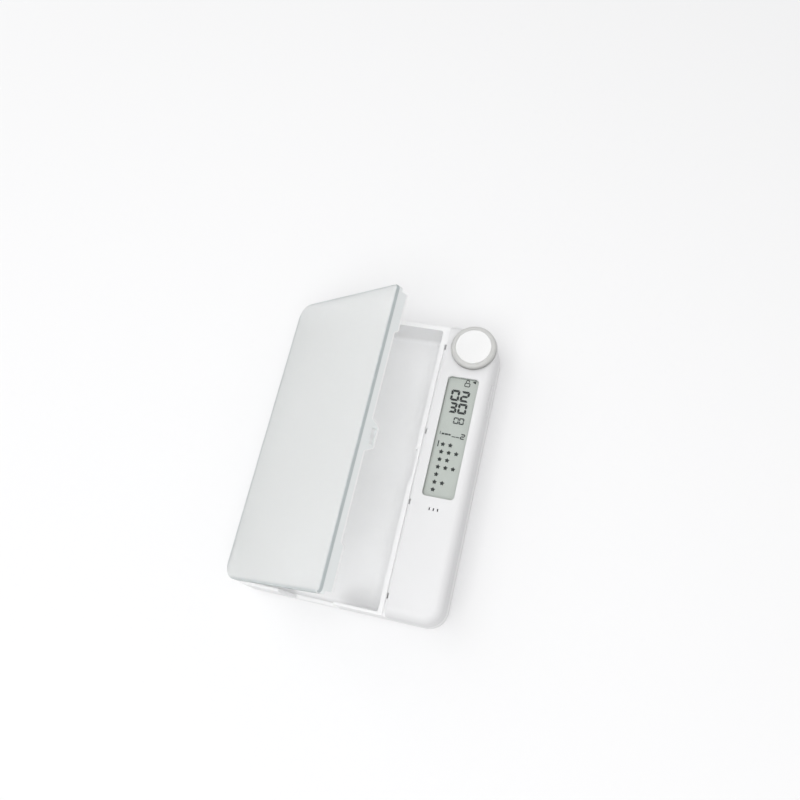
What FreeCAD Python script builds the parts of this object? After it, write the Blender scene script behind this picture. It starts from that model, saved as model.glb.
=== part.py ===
import FreeCAD, Part
import math
import os

# Timed lock container: a shallow tray with a hinged, frosted lid, and a control module beside it
# with a press-and-turn dial, a display, a sounder and a motor-driven bolt that locks the lid.
#
# Millimetres. +Z is up, +X points to the module's side, +Y from the near end to the dial's end.
# The origin is the centre of the case on the surface that it stands on.

Vector = FreeCAD.Vector

# --- Making -------------------------------------------------------------------------------------
overshoot = 1.0  # how far a cut reaches past the face that it opens
joint_overlap = 0.5  # how far two joined forms reach into each other
same_place = 1e-6  # distance within which two places count as one

# --- Case ---------------------------------------------------------------------------------------
case_width = 135.0
case_length = 191.0
module_width = 33.4
tray_height = 25.4
module_rise = 5.2
parting_height = 10.0
foot_proud = 0.2
floor_thickness = 2.6
near_wall = 1.8
far_wall = 3.4
partition_wall = 2.8
groove_width = 2.5
groove_depth = 1.0
cover_wall = 2.0
tongue_wall = 1.0
tongue_height = 2.0
fit_gap = 0.12
hinge_corner_radius = 10.0
near_corner_radius = 12.0
tray_corner_radius = 6.0
partition_corner_radius = 1.5
tray_floor_fillet = 3.0
rim_round = 0.8
roll_radius = 6.0
turret_edge_round = 0.6

# --- Cable notch in the near wall -----------------------------------------------------------------
notch_from_left = 38.4
notch_width = 30.0
notch_sill = 4.2
notch_slope = 6.0

# --- Lid and its hinge ----------------------------------------------------------------------------
lid_rest_angle = 35.5
lid_wall = 1.8
skirt_wall = 1.4
lid_end_gap = 1.1
lid_rim_gap = 0.4
lid_edge_round = 1.5
lid_free_corner_radius = 3.0
lid_inner_corner_radius = 0.6
skirt_depth = 7.2
skirt_end_depth = 9.8
skirt_end_length = 28.0
skirt_partition_gap = 0.4
skirt_step_run = 2.0
hinge_inset = 3.0
hinge_drop = 2.8
hinge_pin_radius = 1.25
hinge_pin_length = 18.5
hinge_pin_in_lid = 12.5
hinge_running_gap = 0.05
pin_end_room = 1.0
barrel_gap = 0.5
post_length = 11.0
post_gap = 0.5
post_sweep_gap = 0.7
hinge_wall = 2.6
plinth_gap = 0.65
plinth_chamfer = 1.5

# --- Locking tab, its recess and the clip slots beside the module ---------------------------------
latch_from_middle = 1.0
tab_width = 12.8
tab_slant = 3.4
tab_depth = 13.3
tab_round = 1.5
tab_window_width = 10.0
tab_window_height = 3.4
tab_strip = 1.5
recess_length = 21.0
recess_depth = 1.2
recess_below_tab = 2.0
clip_slot_length = 3.4
clip_slot_width = 1.0
clip_slot_depth = 3.0
clip_slot_from_module = 1.7
clip_mid_offset = 23.3
clip_end_offset = 82.2

# --- Dial -----------------------------------------------------------------------------------------
dial_radius = 14.6
dial_margin = 0.6
dial_gap = 0.8
dial_height = 4.0
dial_round = 1.8
dial_round_margin = 0.6
dial_skirt_wall = 2.4
dial_web_rise = 0.4
dial_rim = 3.0
cap_proud = 0.4
cap_thickness = 2.4
cap_round = 0.7
hub_radius = 5.2
hub_gap = 0.4
hub_depth = 4.0
shaft_radius = 3.0
shaft_flat = 0.6
shaft_running_gap = 0.06
shaft_seat_depth = 1.0
dial_board_margin = 0.8
dial_board_light_strip = 2.6
dial_board_thickness = 1.6
dial_post_radius = 1.6
encoder_side = 12.0
encoder_height = 6.5
bush_radius = 4.5
bush_length = 5.9
bush_gap = 2.0
plunger_radius = 2.5
plunger_height = 1.0
plunger_floor_gap = 0.9
push_travel = 0.6

# --- Display --------------------------------------------------------------------------------------
window_from_module_left = 5.6
window_from_roll = 1.5
window_from_dial = 5.6
window_from_near = 75.5
window_corner_radius = 2.5
window_recess = 1.2
window_gap = 0.1
lens_flange_thickness = 0.8
lens_air_gap = 0.3
lcd_margin = 0.5
lcd_thickness = 1.5
backlight_thickness = 1.6
frame_wall = 0.9
board_thickness = 1.6
board_past_window_near = 13.0
board_boss_gap = 0.2
board_left_gap = 1.7
board_right_gap = 2.6
board_screw_inset = 2.0
boss_radius = 2.0
chip_side = 10.0
chip_thickness = 1.4
chip_from_window_end = 20.6

# --- Sounder --------------------------------------------------------------------------------------
sounder_from_window = 7.6
sounder_left_of_window = 0.8
sounder_radius = 4.5
sounder_height = 3.2
sounder_ring_wall = 0.8
sound_slot_count = 3
sound_slot_pitch = 2.6
sound_slot_width = 0.8
sound_slot_length = 1.9

# --- Side button ----------------------------------------------------------------------------------
side_button_from_dial = 29.8
side_button_length = 22.0
side_button_height = 3.4
side_button_drop = 10.0
side_button_proud = 0.5
side_button_gap = 0.3
side_flange_thickness = 1.0
side_flange_lip = 0.4
side_stem_width = 4.0
side_stem_length = 1.2
side_stem_height = 2.0
side_button_round = 0.25
side_switch_length = 6.0
side_switch_width = 3.0
side_switch_height = 4.0

# --- Reset button in the underside ----------------------------------------------------------------
reset_from_door = 0.3
reset_from_right = 17.5
reset_radius = 1.4
reset_running_gap = 0.08
reset_recess = 1.0
reset_tube_wall = 1.3
reset_tube_top = 8.0
reset_flange_radius = 2.3
reset_flange_thickness = 0.8
reset_switch_side = 5.0
reset_switch_height = 2.0
switch_gap = 0.1

# --- Latch ----------------------------------------------------------------------------------------
gear_module = 0.8
pinion_teeth = 12
pinion_width = 5.0
pressure_angle = 20.0
gear_backlash = 0.12
gear_dedendum = 1.25
rack_addendum = 0.8
rack_bar_thickness = 1.1
flank_steps = 4
pinion_from_module_left = 12.5
bolt_travel = 3.8
bolt_nose_width = 8.0
bolt_nose_height = 2.4
bolt_nose_inset = 0.4
bolt_nose_round = 0.6
bolt_plate_width = 14.0
bolt_plate_length = 15.0
bolt_shoulder_gap = 0.5
bolt_window_gap = 0.3
guide_gap = 0.25
guide_wall_gap = 0.2
guide_wall = 1.5
guide_ledge_width = 1.7
guide_ledge_thickness = 1.1
guide_length = 18.8
guide_pinion_gap = 1.0
guide_top_rise = 0.5
shaft_hole_gap = 0.7
latch_shaft_radius = 1.5
shaft_collar_radius = 3.0
shaft_collar_length = 1.0
shaft_end_room = 0.5
gearbox_side = 12.0
gearbox_height = 10.0
gearbox_length = 8.0
gearbox_gap = 2.0
gearbox_bore_depth = 5.0
motor_radius = 6.0
motor_length = 15.0
cradle_thickness = 1.5
cradle_lip = 4.0

# --- Battery compartment (two AAA cells) ----------------------------------------------------------
cell_radius = 5.25
cell_length = 44.5
cell_button_radius = 1.9
cell_button_length = 0.8
cell_edge_round = 0.5
cell_spacing = 0.7
cell_side_gap = 0.4
cell_floor_gap = 0.3
cells_from_near = 21.0
spring_end_room = 3.5
plate_end_room = 1.7
compartment_wall = 1.4
contact_width = 6.0
contact_height = 8.0
contact_thickness = 0.4
contact_gap = 0.1
door_thickness = 1.8
door_edge_gap = 0.2
door_ledge = 0.8
door_far_overlap = 2.0
door_near_margin = 1.0
door_travel = 5.0
door_scoop_web = 1.0
door_scoop_extra = 0.5
door_tab_length = 4.0
door_tab_width = 1.0
door_tab_thickness = 0.9
door_tab_gap = 0.1
door_tab_inset = 8.0
grip_count = 4
grip_pitch = 2.4
grip_width = 1.0
grip_length = 12.0
grip_depth = 0.5
grip_from_near = 5.0

# --- Feet and screws ------------------------------------------------------------------------------
foot_radius = 4.0
foot_pocket_depth = 1.2
foot_from_left = 12.0
foot_from_end = 12.0
foot_under_dial_inset = 14.0
foot_near_from_module = 16.0
foot_near_from_near = 9.0
screw_tube_radius = 4.2
screw_head_radius = 2.6
screw_head_height = 1.8
screw_head_round = 0.6
screw_shank_radius = 1.3
screw_head_depth = 1.8
screw_reach = 15.0
screw_boss_radius = 2.6
screw_wall_gap = 0.3
near_left_screw_inset = 7.4
near_right_screw_inset = 9.0
near_screw_inset = 8.5
dial_screw_offset = 10.4
counterbore_gap = 0.3
board_screw_head_radius = 1.9
board_screw_head_height = 1.2
board_screw_head_round = 0.4
board_screw_radius = 0.9
board_screw_reach = 3.2
led_radius = 1.0
led_height = 3.0
led_flat = 0.1

# --- Places worked out from the sizes above -------------------------------------------------------
left = -case_width / 2
right = case_width / 2
near = -case_length / 2
far = case_length / 2
underside = foot_proud
floor_top = underside + floor_thickness

module_left = right - module_width
base_wall = cover_wall + fit_gap + tongue_wall
groove_left = module_left - groove_width
partition_left = groove_left - partition_wall

hinge_x = left + hinge_inset
hinge_wall_left = left + 2 * hinge_inset + barrel_gap
tray_left = hinge_wall_left + hinge_wall
module_height = tray_height + module_rise
hinge_height = tray_height - hinge_drop
plinth_top = hinge_height - hinge_inset - plinth_gap

lid_top = module_height
lid_free_x = partition_left - skirt_partition_gap
lid_lower_edge = tray_height + lid_rim_gap
skirt_near = near + near_wall + partition_corner_radius
skirt_far = far - far_wall - partition_corner_radius
post_sweep_radius = math.hypot(hinge_inset, hinge_drop) + post_sweep_gap
latch_y = -latch_from_middle
tab_bottom = lid_top - tab_depth
recess_near = latch_y - recess_length / 2
recess_far = latch_y + recess_length / 2
recess_floor = tab_bottom - recess_below_tab
recess_right = partition_left + recess_depth

dial_corner_radius = dial_radius + dial_margin
dial_x = right - dial_corner_radius
dial_y = far - dial_corner_radius
cap_radius = dial_radius - dial_rim
dial_bottom = module_height + dial_gap
dial_top = dial_bottom + dial_height
cap_bottom = dial_top + cap_proud - cap_thickness
dial_board_left = dial_x - encoder_side / 2 - dial_board_light_strip
dial_board_right = dial_x + encoder_side / 2 + dial_board_margin
dial_board_near = dial_y - encoder_side / 2 - dial_board_margin
dial_board_far = dial_y + encoder_side / 2 + dial_board_margin
hub_bottom = module_height - hub_depth
bush_top = hub_bottom - bush_gap
encoder_top = bush_top - bush_length
dial_board_top = encoder_top - encoder_height
dial_board_height = dial_board_top - dial_board_thickness
led_x = (dial_board_left + dial_x - encoder_side / 2) / 2
plunger_bottom = dial_board_top + plunger_floor_gap
shaft_bottom = plunger_bottom + plunger_height
shaft_top = cap_bottom - shaft_seat_depth

cover_ceiling = module_height - cover_wall
window_left = module_left + window_from_module_left
window_right = right - roll_radius - window_from_roll
window_x = (window_left + window_right) / 2
window_width = window_right - window_left
lens_flange = window_from_roll - window_gap
window_near = near + window_from_near
window_far = dial_y - dial_radius - window_from_dial
window_y = (window_near + window_far) / 2
window_length = window_far - window_near
lens_bottom = cover_ceiling - lens_flange_thickness
lcd_top = lens_bottom - lens_air_gap
lcd_bottom = lcd_top - lcd_thickness
board_top = lcd_bottom - backlight_thickness
board_bottom = board_top - board_thickness
board_left = module_left + cover_wall + board_left_gap
board_right = right - cover_wall - board_right_gap
board_near = window_near - board_past_window_near
board_far = window_far + lcd_margin + frame_wall + board_boss_gap + boss_radius + board_screw_inset
sounder_x = window_x - sounder_left_of_window
sounder_y = window_near - sounder_from_window

side_button_y = dial_y - side_button_from_dial
side_button_level = module_height - side_button_drop
cover_inner_right = right - cover_wall
side_stem_tip = cover_inner_right - side_button_gap - side_flange_thickness - side_stem_length
side_switch_face = side_stem_tip - push_travel - switch_gap

reset_x = right - reset_from_right
reset_bottom = underside + reset_recess
reset_top = board_bottom - reset_switch_height - push_travel - switch_gap

pitch_radius = gear_module * pinion_teeth / 2
pinion_x = module_left + pinion_from_module_left
bolt_tip = recess_right + bolt_nose_inset
bolt_plate_left = module_left + cover_wall + bolt_travel + bolt_shoulder_gap
bolt_plate_right = bolt_plate_left + bolt_plate_length
tab_window_bottom = tab_bottom + tab_strip
bolt_bottom = tab_window_bottom + (tab_window_height - bolt_nose_height) / 2
rack_root = bolt_bottom - rack_bar_thickness
pitch_line = rack_root - gear_dedendum * gear_module
pinion_axis_height = pitch_line - pitch_radius
bolt_top = bolt_bottom + bolt_nose_height
guide_left = module_left + base_wall + guide_wall_gap
guide_right = guide_left + guide_length
guide_inner = bolt_plate_width / 2 + guide_gap
guide_outer = guide_inner + guide_wall
gearbox_near = guide_outer + gearbox_gap
gearbox_far = gearbox_near + gearbox_length
motor_far = gearbox_far + motor_length

module_middle = (module_left + right) / 2
cell_offset = cell_radius + cell_spacing / 2
cells_x = (module_middle - cell_offset, module_middle + cell_offset)
cell_sides = (1, -1)
cell_level = underside + door_thickness + cell_floor_gap + cell_radius
cells_near = near + cells_from_near
cells_far = cells_near + cell_length
compartment_left = cells_x[0] - cell_radius - cell_side_gap
compartment_right = cells_x[1] + cell_radius + cell_side_gap
compartment_near = cells_near - spring_end_room
compartment_far = cells_far + cell_button_length + plate_end_room
compartment_top = cell_level + cell_radius + cell_side_gap
door_left = compartment_left - door_ledge + door_edge_gap
door_right = compartment_right + door_ledge - door_edge_gap
door_near = cells_near - door_near_margin
door_far = compartment_far + door_far_overlap
door_top = underside + door_thickness
scoop_near = door_near - door_travel - door_scoop_extra
reset_y = door_far + door_edge_gap + reset_from_door + reset_tube_wall + reset_radius

screw_inset = base_wall + screw_boss_radius + screw_wall_gap
case_screws_at = (
    (module_left + near_left_screw_inset, near + near_screw_inset),
    (right - near_right_screw_inset, near + near_screw_inset),
    (module_left + screw_inset, far - screw_inset),
    (right - screw_inset, dial_y - dial_screw_offset),
)
board_screws_at = tuple(
    (x, y)
    for x in (board_left + board_screw_inset, board_right - board_screw_inset)
    for y in (board_near + board_screw_inset, board_far - board_screw_inset)
)
feet_at = (
    (left + foot_from_left, near + foot_from_end),
    (left + foot_from_left, far - foot_from_end),
    (module_left + foot_near_from_module, near + foot_near_from_near),
    (dial_x, far - foot_under_dial_inset),
)
clip_slots_y = tuple(
    latch_y + offset for offset in (-clip_end_offset, -clip_mid_offset, clip_mid_offset, clip_end_offset)
)


# --- Shape helpers --------------------------------------------------------------------------------
def box(x0, x1, y0, y1, z0, z1):
    """A box between two corners."""
    return Part.makeBox(x1 - x0, y1 - y0, z1 - z0, Vector(x0, y0, z0))


def centred_box(x, y, size_x, size_y, z0, z1):
    """A box with its middle over (x, y)."""
    return box(x - size_x / 2, x + size_x / 2, y - size_y / 2, y + size_y / 2, z0, z1)


def upright(x, y, radius, z0, z1):
    """A cylinder along Z."""
    return Part.makeCylinder(radius, z1 - z0, Vector(x, y, z0), Vector(0, 0, 1))


def lengthwise(x, z, radius, y0, y1):
    """A cylinder along Y."""
    return Part.makeCylinder(radius, y1 - y0, Vector(x, y0, z), Vector(0, 1, 0))


def rounded_face(x0, x1, y0, y1, radii, z):
    """A flat face: a rectangle with its own radius at each corner, near left first, anticlockwise."""
    corners = ((x0, y0, 1, 1), (x1, y0, -1, 1), (x1, y1, -1, -1), (x0, y1, 1, -1))
    edges = []
    ends = []
    for index, ((x, y, in_x, in_y), radius) in enumerate(zip(corners, radii)):
        along_x = Vector(x + in_x * radius, y, z)
        along_y = Vector(x, y + in_y * radius, z)
        start, end = (along_y, along_x) if index % 2 == 0 else (along_x, along_y)
        if radius > 0:
            bulge = radius * (1 - math.sqrt(0.5))
            middle = Vector(x + in_x * bulge, y + in_y * bulge, z)
            edges.append(Part.Arc(start, middle, end).toShape())
        ends.append((start, end))
    for index, (start, end) in enumerate(ends):
        following = ends[(index + 1) % len(ends)][0]
        edges.append(Part.makeLine(end, following))
    return Part.Face(Part.Wire(Part.__sortEdges__(edges)))


def rounded_prism(x0, x1, y0, y1, radii, z0, z1):
    """A rounded rectangle carried up from z0 to z1. One radius may stand for all four corners."""
    if not isinstance(radii, tuple):
        radii = (radii,) * 4
    return rounded_face(x0, x1, y0, y1, radii, z0).extrude(Vector(0, 0, z1 - z0))


def profile_prism(points, direction):
    """A closed outline of straight runs, carried along a direction."""
    outline = Part.makePolygon([Vector(*p) for p in points] + [Vector(*points[0])])
    return Part.Face(outline).extrude(Vector(*direction))


def revolve(points, x, y):
    """A closed (radius, height) outline turned about the upright axis through (x, y)."""
    outline = Part.makePolygon([Vector(x + r, y, z) for r, z in points + points[:1]])
    return Part.Face(outline).revolve(Vector(x, y, 0), Vector(0, 0, 1), 360)


def fuse(first, *others):
    """One solid out of several that overlap or touch."""
    return first.fuse(list(others)).removeSplitter()


def cut(body, *tools):
    """The body without the tools."""
    return body.cut(list(tools)) if tools else body


def round_edges(solid, radius, chosen):
    """Rounds the edges for which chosen(edge) is true."""
    edges = [edge for edge in solid.Edges if chosen(edge)]
    return solid.makeFillet(radius, edges) if edges else solid


def level_edge(z):
    """A test for edges that lie wholly at height z."""
    return lambda edge: max(abs(edge.BoundBox.ZMin - z), abs(edge.BoundBox.ZMax - z)) < same_place


def save(name, shape):
    """Writes one node."""
    shape.exportStep(f"parts/{name}.step")


# --- Base -----------------------------------------------------------------------------------------
def case_prism(inset, z0, z1):
    """The whole case's outline, drawn in by inset."""
    radii = (hinge_corner_radius, near_corner_radius, dial_corner_radius, hinge_corner_radius)
    inner = tuple(max(radius - inset, 0.0) for radius in radii)
    return rounded_prism(left + inset, right - inset, near + inset, far - inset, inner, z0, z1)


def module_prism(inset, z0, z1):
    """The module's outline, drawn in by inset. Its left corners are square."""
    radii = (0.0, near_corner_radius - inset, dial_corner_radius - inset, 0.0)
    return rounded_prism(module_left + inset, right - inset, near + inset, far - inset, radii, z0, z1)


def tray_hollow():
    """The phone's compartment, with a soft fillet round its floor."""
    radii = (tray_corner_radius, partition_corner_radius, partition_corner_radius, tray_corner_radius)
    hollow = rounded_prism(
        tray_left, partition_left, near + near_wall, far - far_wall, radii, floor_top,
        tray_height + overshoot,
    )
    return round_edges(hollow, tray_floor_fillet, level_edge(floor_top))


def cable_notch():
    """The gap in the near wall that a charging lead comes in by: upright on one side, sloped on the other."""
    x0 = left + notch_from_left
    x1 = x0 + notch_width
    start = near - overshoot
    points = (
        (x0, start, notch_sill),
        (x1, start, notch_sill),
        (x1, start, tray_height + overshoot),
        (x0 - notch_slope, start, tray_height + overshoot),
    )
    return profile_prism(points, (0, near_wall + 2 * overshoot, 0))


def hinge_trough():
    """The room along the left side that the lid's wall and barrel take."""
    y0 = near + post_length
    y1 = far - post_length
    room = box(left - overshoot, hinge_wall_left, y0, y1, plinth_top, tray_height + overshoot)
    bevel = profile_prism(
        (
            (left - overshoot, y0, plinth_top + overshoot),
            (left - overshoot, y0, plinth_top - plinth_chamfer - overshoot),
            (left + plinth_chamfer + overshoot, y0, plinth_top + overshoot),
        ),
        (0, y1 - y0, 0),
    )
    return fuse(room, bevel)


def partition_cuts():
    """The groove beside the module with its four clip slots, the tab's recess and the bolt's passage."""
    groove_bottom = tray_height - groove_depth
    groove_far = clip_slots_y[-1] + clip_slot_length / 2
    opening = tray_height + overshoot
    cuts = [box(groove_left, module_left, near - overshoot, groove_far, groove_bottom, opening)]
    for y in clip_slots_y:
        cuts.append(centred_box(
            module_left - clip_slot_from_module, y, clip_slot_width, clip_slot_length,
            groove_bottom - clip_slot_depth, groove_bottom + overshoot,
        ))
    cuts.append(box(
        partition_left - overshoot, recess_right, recess_near, recess_far, recess_floor, opening,
    ))
    cuts.append(bolt_passage(partition_left, module_left + overshoot))
    return cuts


def bolt_passage(x0, x1):
    """The room round the bolt's nose."""
    return centred_box(
        (x0 + x1) / 2, latch_y, x1 - x0, bolt_nose_width + 2 * bolt_window_gap,
        bolt_bottom - bolt_window_gap, bolt_top + bolt_window_gap,
    )


def at_latch(shape):
    """Carries a piece built across the middle of the case to the latch's place."""
    shape.translate(Vector(0, latch_y, 0))
    return shape


def screw_place(x, y):
    """A screw's tube in the base, and the hole through it."""
    tube = upright(x, y, screw_tube_radius, underside, parting_height)
    head_seat = underside + screw_head_depth + screw_head_height
    hole = fuse(
        upright(x, y, screw_head_radius + counterbore_gap, underside - overshoot, head_seat),
        upright(x, y, screw_shank_radius, head_seat - overshoot, parting_height + overshoot),
    )
    return tube, hole


def door_path():
    """The recess that the battery door fills, its scoop, and the slots for the door's tabs."""
    recess = box(
        door_left - door_edge_gap, door_right + door_edge_gap, scoop_near, door_far + door_edge_gap,
        underside - overshoot, door_top,
    )
    mouth = box(
        compartment_left, compartment_right, door_near, compartment_far, underside, compartment_top,
    )
    contact_room = box(
        compartment_left, compartment_right, compartment_near, compartment_far,
        door_top + door_scoop_web, compartment_top,
    )
    cuts = [recess, mouth, contact_room]
    slot_bottom = door_top - door_tab_thickness - door_tab_gap
    reach = door_tab_width + door_edge_gap + door_tab_gap
    for tab_y in door_tab_places():
        y0 = tab_y - door_tab_length / 2 - door_travel - door_tab_gap
        y1 = tab_y + door_tab_length / 2 + door_tab_gap
        entry = y0 + door_tab_length + 2 * door_tab_gap
        for x0, x1 in ((door_left - reach, door_left), (door_right, door_right + reach)):
            cuts.append(box(x0, x1, y0, y1, slot_bottom, door_top))
            cuts.append(box(x0, x1, y0, entry, underside - overshoot, door_top))
    return cuts


def door_tab_places():
    """Where along the door its tabs are."""
    return door_near + door_tab_inset, door_far - door_tab_inset


def latch_cradle():
    """Two ribs with side lips: one holds the gearbox, the other the motor's end."""
    seat = pinion_axis_height - gearbox_height / 2
    ribs = []
    for y, half in (
        (gearbox_near + cradle_thickness, gearbox_side / 2),
        (motor_far - 2 * cradle_thickness, motor_radius),
    ):
        rib = box(
            pinion_x - half - cradle_thickness, pinion_x + half + cradle_thickness,
            y, y + cradle_thickness, floor_top, seat + cradle_lip,
        )
        room = box(
            pinion_x - half, pinion_x + half, y - overshoot, y + cradle_thickness + overshoot,
            seat, seat + gearbox_height,
        )
        ribs.append(at_latch(rib.cut(room)))
    return ribs


def dial_board_posts():
    """Four posts under the dial's board."""
    return [
        upright(x, y, dial_post_radius, floor_top, dial_board_height)
        for x in (dial_board_left + dial_post_radius, dial_board_right - dial_post_radius)
        for y in (dial_board_near + dial_post_radius, dial_board_far - dial_post_radius)
    ]


def base_shell():
    """The lower moulding: tray, rim, partition, module floor and everything that stands on it."""
    tongue_top = parting_height + tongue_height
    shell = case_prism(0, underside, tray_height)
    shell = round_edges(shell, rim_round, level_edge(tray_height))
    above_module = box(
        module_left, right + overshoot, near - overshoot, far + overshoot,
        parting_height, tray_height + overshoot,
    )
    module_room = module_prism(base_wall, floor_top, parting_height + overshoot)
    shell = cut(
        shell, above_module, module_room, tray_hollow(), hinge_trough(), cable_notch(),
        *partition_cuts(),
    )
    tongue = cut(
        module_prism(cover_wall + fit_gap, floor_top, tongue_top),
        module_prism(base_wall, floor_top - overshoot, tongue_top + overshoot),
    )
    tubes, holes = zip(*(screw_place(x, y) for x, y in case_screws_at))
    chamber = box(
        compartment_left - compartment_wall, compartment_right + compartment_wall,
        compartment_near - compartment_wall, compartment_far + compartment_wall,
        underside, compartment_top + compartment_wall,
    )
    reset_tube = upright(reset_x, reset_y, reset_radius + reset_tube_wall, underside, reset_tube_top)
    shell = fuse(
        shell, tongue, chamber, reset_tube, *tubes, *latch_cradle(), *dial_board_posts(),
    )
    pin_in_post = hinge_pin_length - hinge_pin_in_lid
    pin_holes = [
        lengthwise(hinge_x, hinge_height, hinge_pin_radius, y0, y1)
        for y0, y1 in (
            (near + post_length - pin_in_post, near + post_length + overshoot),
            (far - post_length - overshoot, far - post_length + pin_in_post),
        )
    ]
    feet = [
        upright(x, y, foot_radius, underside - overshoot, underside + foot_pocket_depth)
        for x, y in feet_at
    ]
    reset_bore = upright(
        reset_x, reset_y, reset_radius + reset_running_gap,
        underside - overshoot, reset_tube_top + overshoot,
    )
    return cut(shell, *holes, *door_path(), *pin_holes, *feet, reset_bore)


# --- Module cover ---------------------------------------------------------------------------------
def module_form(inset, z0, z1):
    """The module's upper form: edges rolled over on the open sides, and a turret under the dial."""
    block = module_prism(inset, z0, z1)
    roll = round_edges(
        block, roll_radius - inset,
        lambda edge: level_edge(z1)(edge) and edge.BoundBox.XMax > module_left + inset + same_place,
    )
    turret = upright(dial_x, dial_y, dial_corner_radius - inset, z0, z1)
    turret = round_edges(turret, turret_edge_round, level_edge(z1))
    return fuse(roll, turret)


def window_opening(margin, z0, z1):
    """The display window's outline, made larger by margin."""
    return rounded_prism(
        window_x - window_width / 2 - margin, window_x + window_width / 2 + margin,
        window_y - window_length / 2 - margin, window_y + window_length / 2 + margin,
        window_corner_radius + margin, z0, z1,
    )


def side_button_form(length, height, x0, x1):
    """A bar with round ends, lying along Y on the module's right side."""
    radius = height / 2
    reach = length / 2 - radius
    ends = [
        Part.makeCylinder(radius, x1 - x0, Vector(x0, side_button_y + side * reach, side_button_level),
                          Vector(1, 0, 0))
        for side in (-1, 1)
    ]
    middle = box(
        x0, x1, side_button_y - reach, side_button_y + reach,
        side_button_level - radius, side_button_level + radius,
    )
    return fuse(middle, *ends)


def module_cover():
    """The upper moulding of the control module."""
    outer = module_form(0, parting_height, module_height)
    inner = module_form(cover_wall, parting_height - overshoot, cover_ceiling)
    shell = cut(outer, inner)
    bosses = [
        upright(x, y, screw_boss_radius, parting_height, cover_ceiling + joint_overlap)
        for x, y in case_screws_at
    ]
    bosses += [
        upright(x, y, boss_radius, board_top, cover_ceiling + joint_overlap)
        for x, y in board_screws_at
    ]
    ring_bottom = cover_ceiling - sounder_height
    ring = cut(
        upright(
            sounder_x, sounder_y, sounder_radius + sounder_ring_wall,
            ring_bottom, cover_ceiling + joint_overlap,
        ),
        upright(sounder_x, sounder_y, sounder_radius, ring_bottom - overshoot, cover_ceiling),
    )
    inside = module_prism(cover_wall / 2, parting_height - overshoot, module_height)
    shell = fuse(shell, *[boss.common(inside) for boss in bosses], ring)
    holes = [
        upright(x, y, screw_shank_radius, parting_height - overshoot, screw_tip())
        for x, y in case_screws_at
    ]
    holes += [
        upright(x, y, board_screw_radius, board_top - overshoot, board_bottom + board_screw_reach)
        for x, y in board_screws_at
    ]
    through_bottom = cover_ceiling - overshoot
    through_top = module_height + overshoot
    slots = [
        centred_box(
            sounder_x + (index - (sound_slot_count - 1) / 2) * sound_slot_pitch, sounder_y,
            sound_slot_width, sound_slot_length, through_bottom, through_top,
        )
        for index in range(sound_slot_count)
    ]
    dial_hole = upright(dial_x, dial_y, hub_radius + hub_gap, through_bottom, through_top)
    button_hole = side_button_form(
        side_button_length, side_button_height, cover_inner_right - overshoot, right + overshoot,
    )
    return cut(
        shell, window_opening(0, through_bottom, through_top), *holes, *slots, dial_hole,
        bolt_passage(module_left - overshoot, module_left + cover_wall + overshoot), button_hole,
    )


# --- Lid ------------------------------------------------------------------------------------------
def lid_prism(inset, free_inset, z0, z1):
    """The lid's outline, drawn in by inset, and by free_inset on the free side."""
    hinge_radius = hinge_corner_radius - inset
    free_radius = max(lid_free_corner_radius - inset, lid_inner_corner_radius)
    return rounded_prism(
        left + inset, lid_free_x - free_inset,
        near + lid_end_gap + inset, far - lid_end_gap - inset,
        (hinge_radius, free_radius, free_radius, hinge_radius), z0, z1,
    )


def skirt():
    """The free side's skirt: deeper towards both ends, with the locking tab in the middle."""
    x0 = lid_free_x - skirt_wall
    middle_bottom = lid_top - skirt_depth
    end_bottom = lid_top - skirt_end_depth
    joint = lid_lower_edge + joint_overlap
    near_step = near + lid_end_gap + skirt_end_length
    far_step = far - lid_end_gap - skirt_end_length
    tab_near = latch_y - tab_width / 2
    tab_far = latch_y + tab_width / 2
    points = (
        (x0, skirt_near, joint),
        (x0, skirt_near, end_bottom),
        (x0, near_step, end_bottom),
        (x0, near_step + skirt_step_run, middle_bottom),
        (x0, tab_near - tab_slant, middle_bottom),
        (x0, tab_near, tab_bottom),
        (x0, tab_far, tab_bottom),
        (x0, tab_far + tab_slant, middle_bottom),
        (x0, far_step - skirt_step_run, middle_bottom),
        (x0, far_step, end_bottom),
        (x0, skirt_far, end_bottom),
        (x0, skirt_far, joint),
    )
    plate = profile_prism(points, (skirt_wall, 0, 0))
    plate = round_edges(
        plate, tab_round,
        lambda edge: edge.BoundBox.XLength > same_place and edge.BoundBox.ZMax < tab_bottom + same_place,
    )
    window = box(
        x0 - overshoot, lid_free_x + overshoot,
        latch_y - tab_window_width / 2, latch_y + tab_window_width / 2,
        tab_window_bottom, tab_window_bottom + tab_window_height,
    )
    return cut(plate, window)


def closed_lid():
    """The lid as it lies when it is shut."""
    outer = lid_prism(0, 0, lid_lower_edge, lid_top)
    outer = round_edges(outer, lid_edge_round, level_edge(lid_top))
    inner = lid_prism(lid_wall, skirt_wall, lid_lower_edge - overshoot, lid_top - lid_wall)
    y0 = near + post_length + post_gap
    y1 = far - post_length - post_gap
    side = box(left, left + lid_wall, y0, y1, hinge_height, lid_lower_edge + joint_overlap)
    barrel = lengthwise(hinge_x, hinge_height, hinge_inset, y0, y1)
    rim = cut(
        outer, inner,
        lengthwise(hinge_x, hinge_height, post_sweep_radius, near, y0),
        lengthwise(hinge_x, hinge_height, post_sweep_radius, y1, far),
    )
    lid = fuse(rim, side, barrel, skirt())
    bore_radius = hinge_pin_radius + hinge_running_gap
    depth = hinge_pin_in_lid + pin_end_room
    bores = [
        lengthwise(hinge_x, hinge_height, bore_radius, y0 - overshoot, y0 + depth),
        lengthwise(hinge_x, hinge_height, bore_radius, y1 - depth, y1 + overshoot),
    ]
    return cut(lid, *bores)


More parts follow.
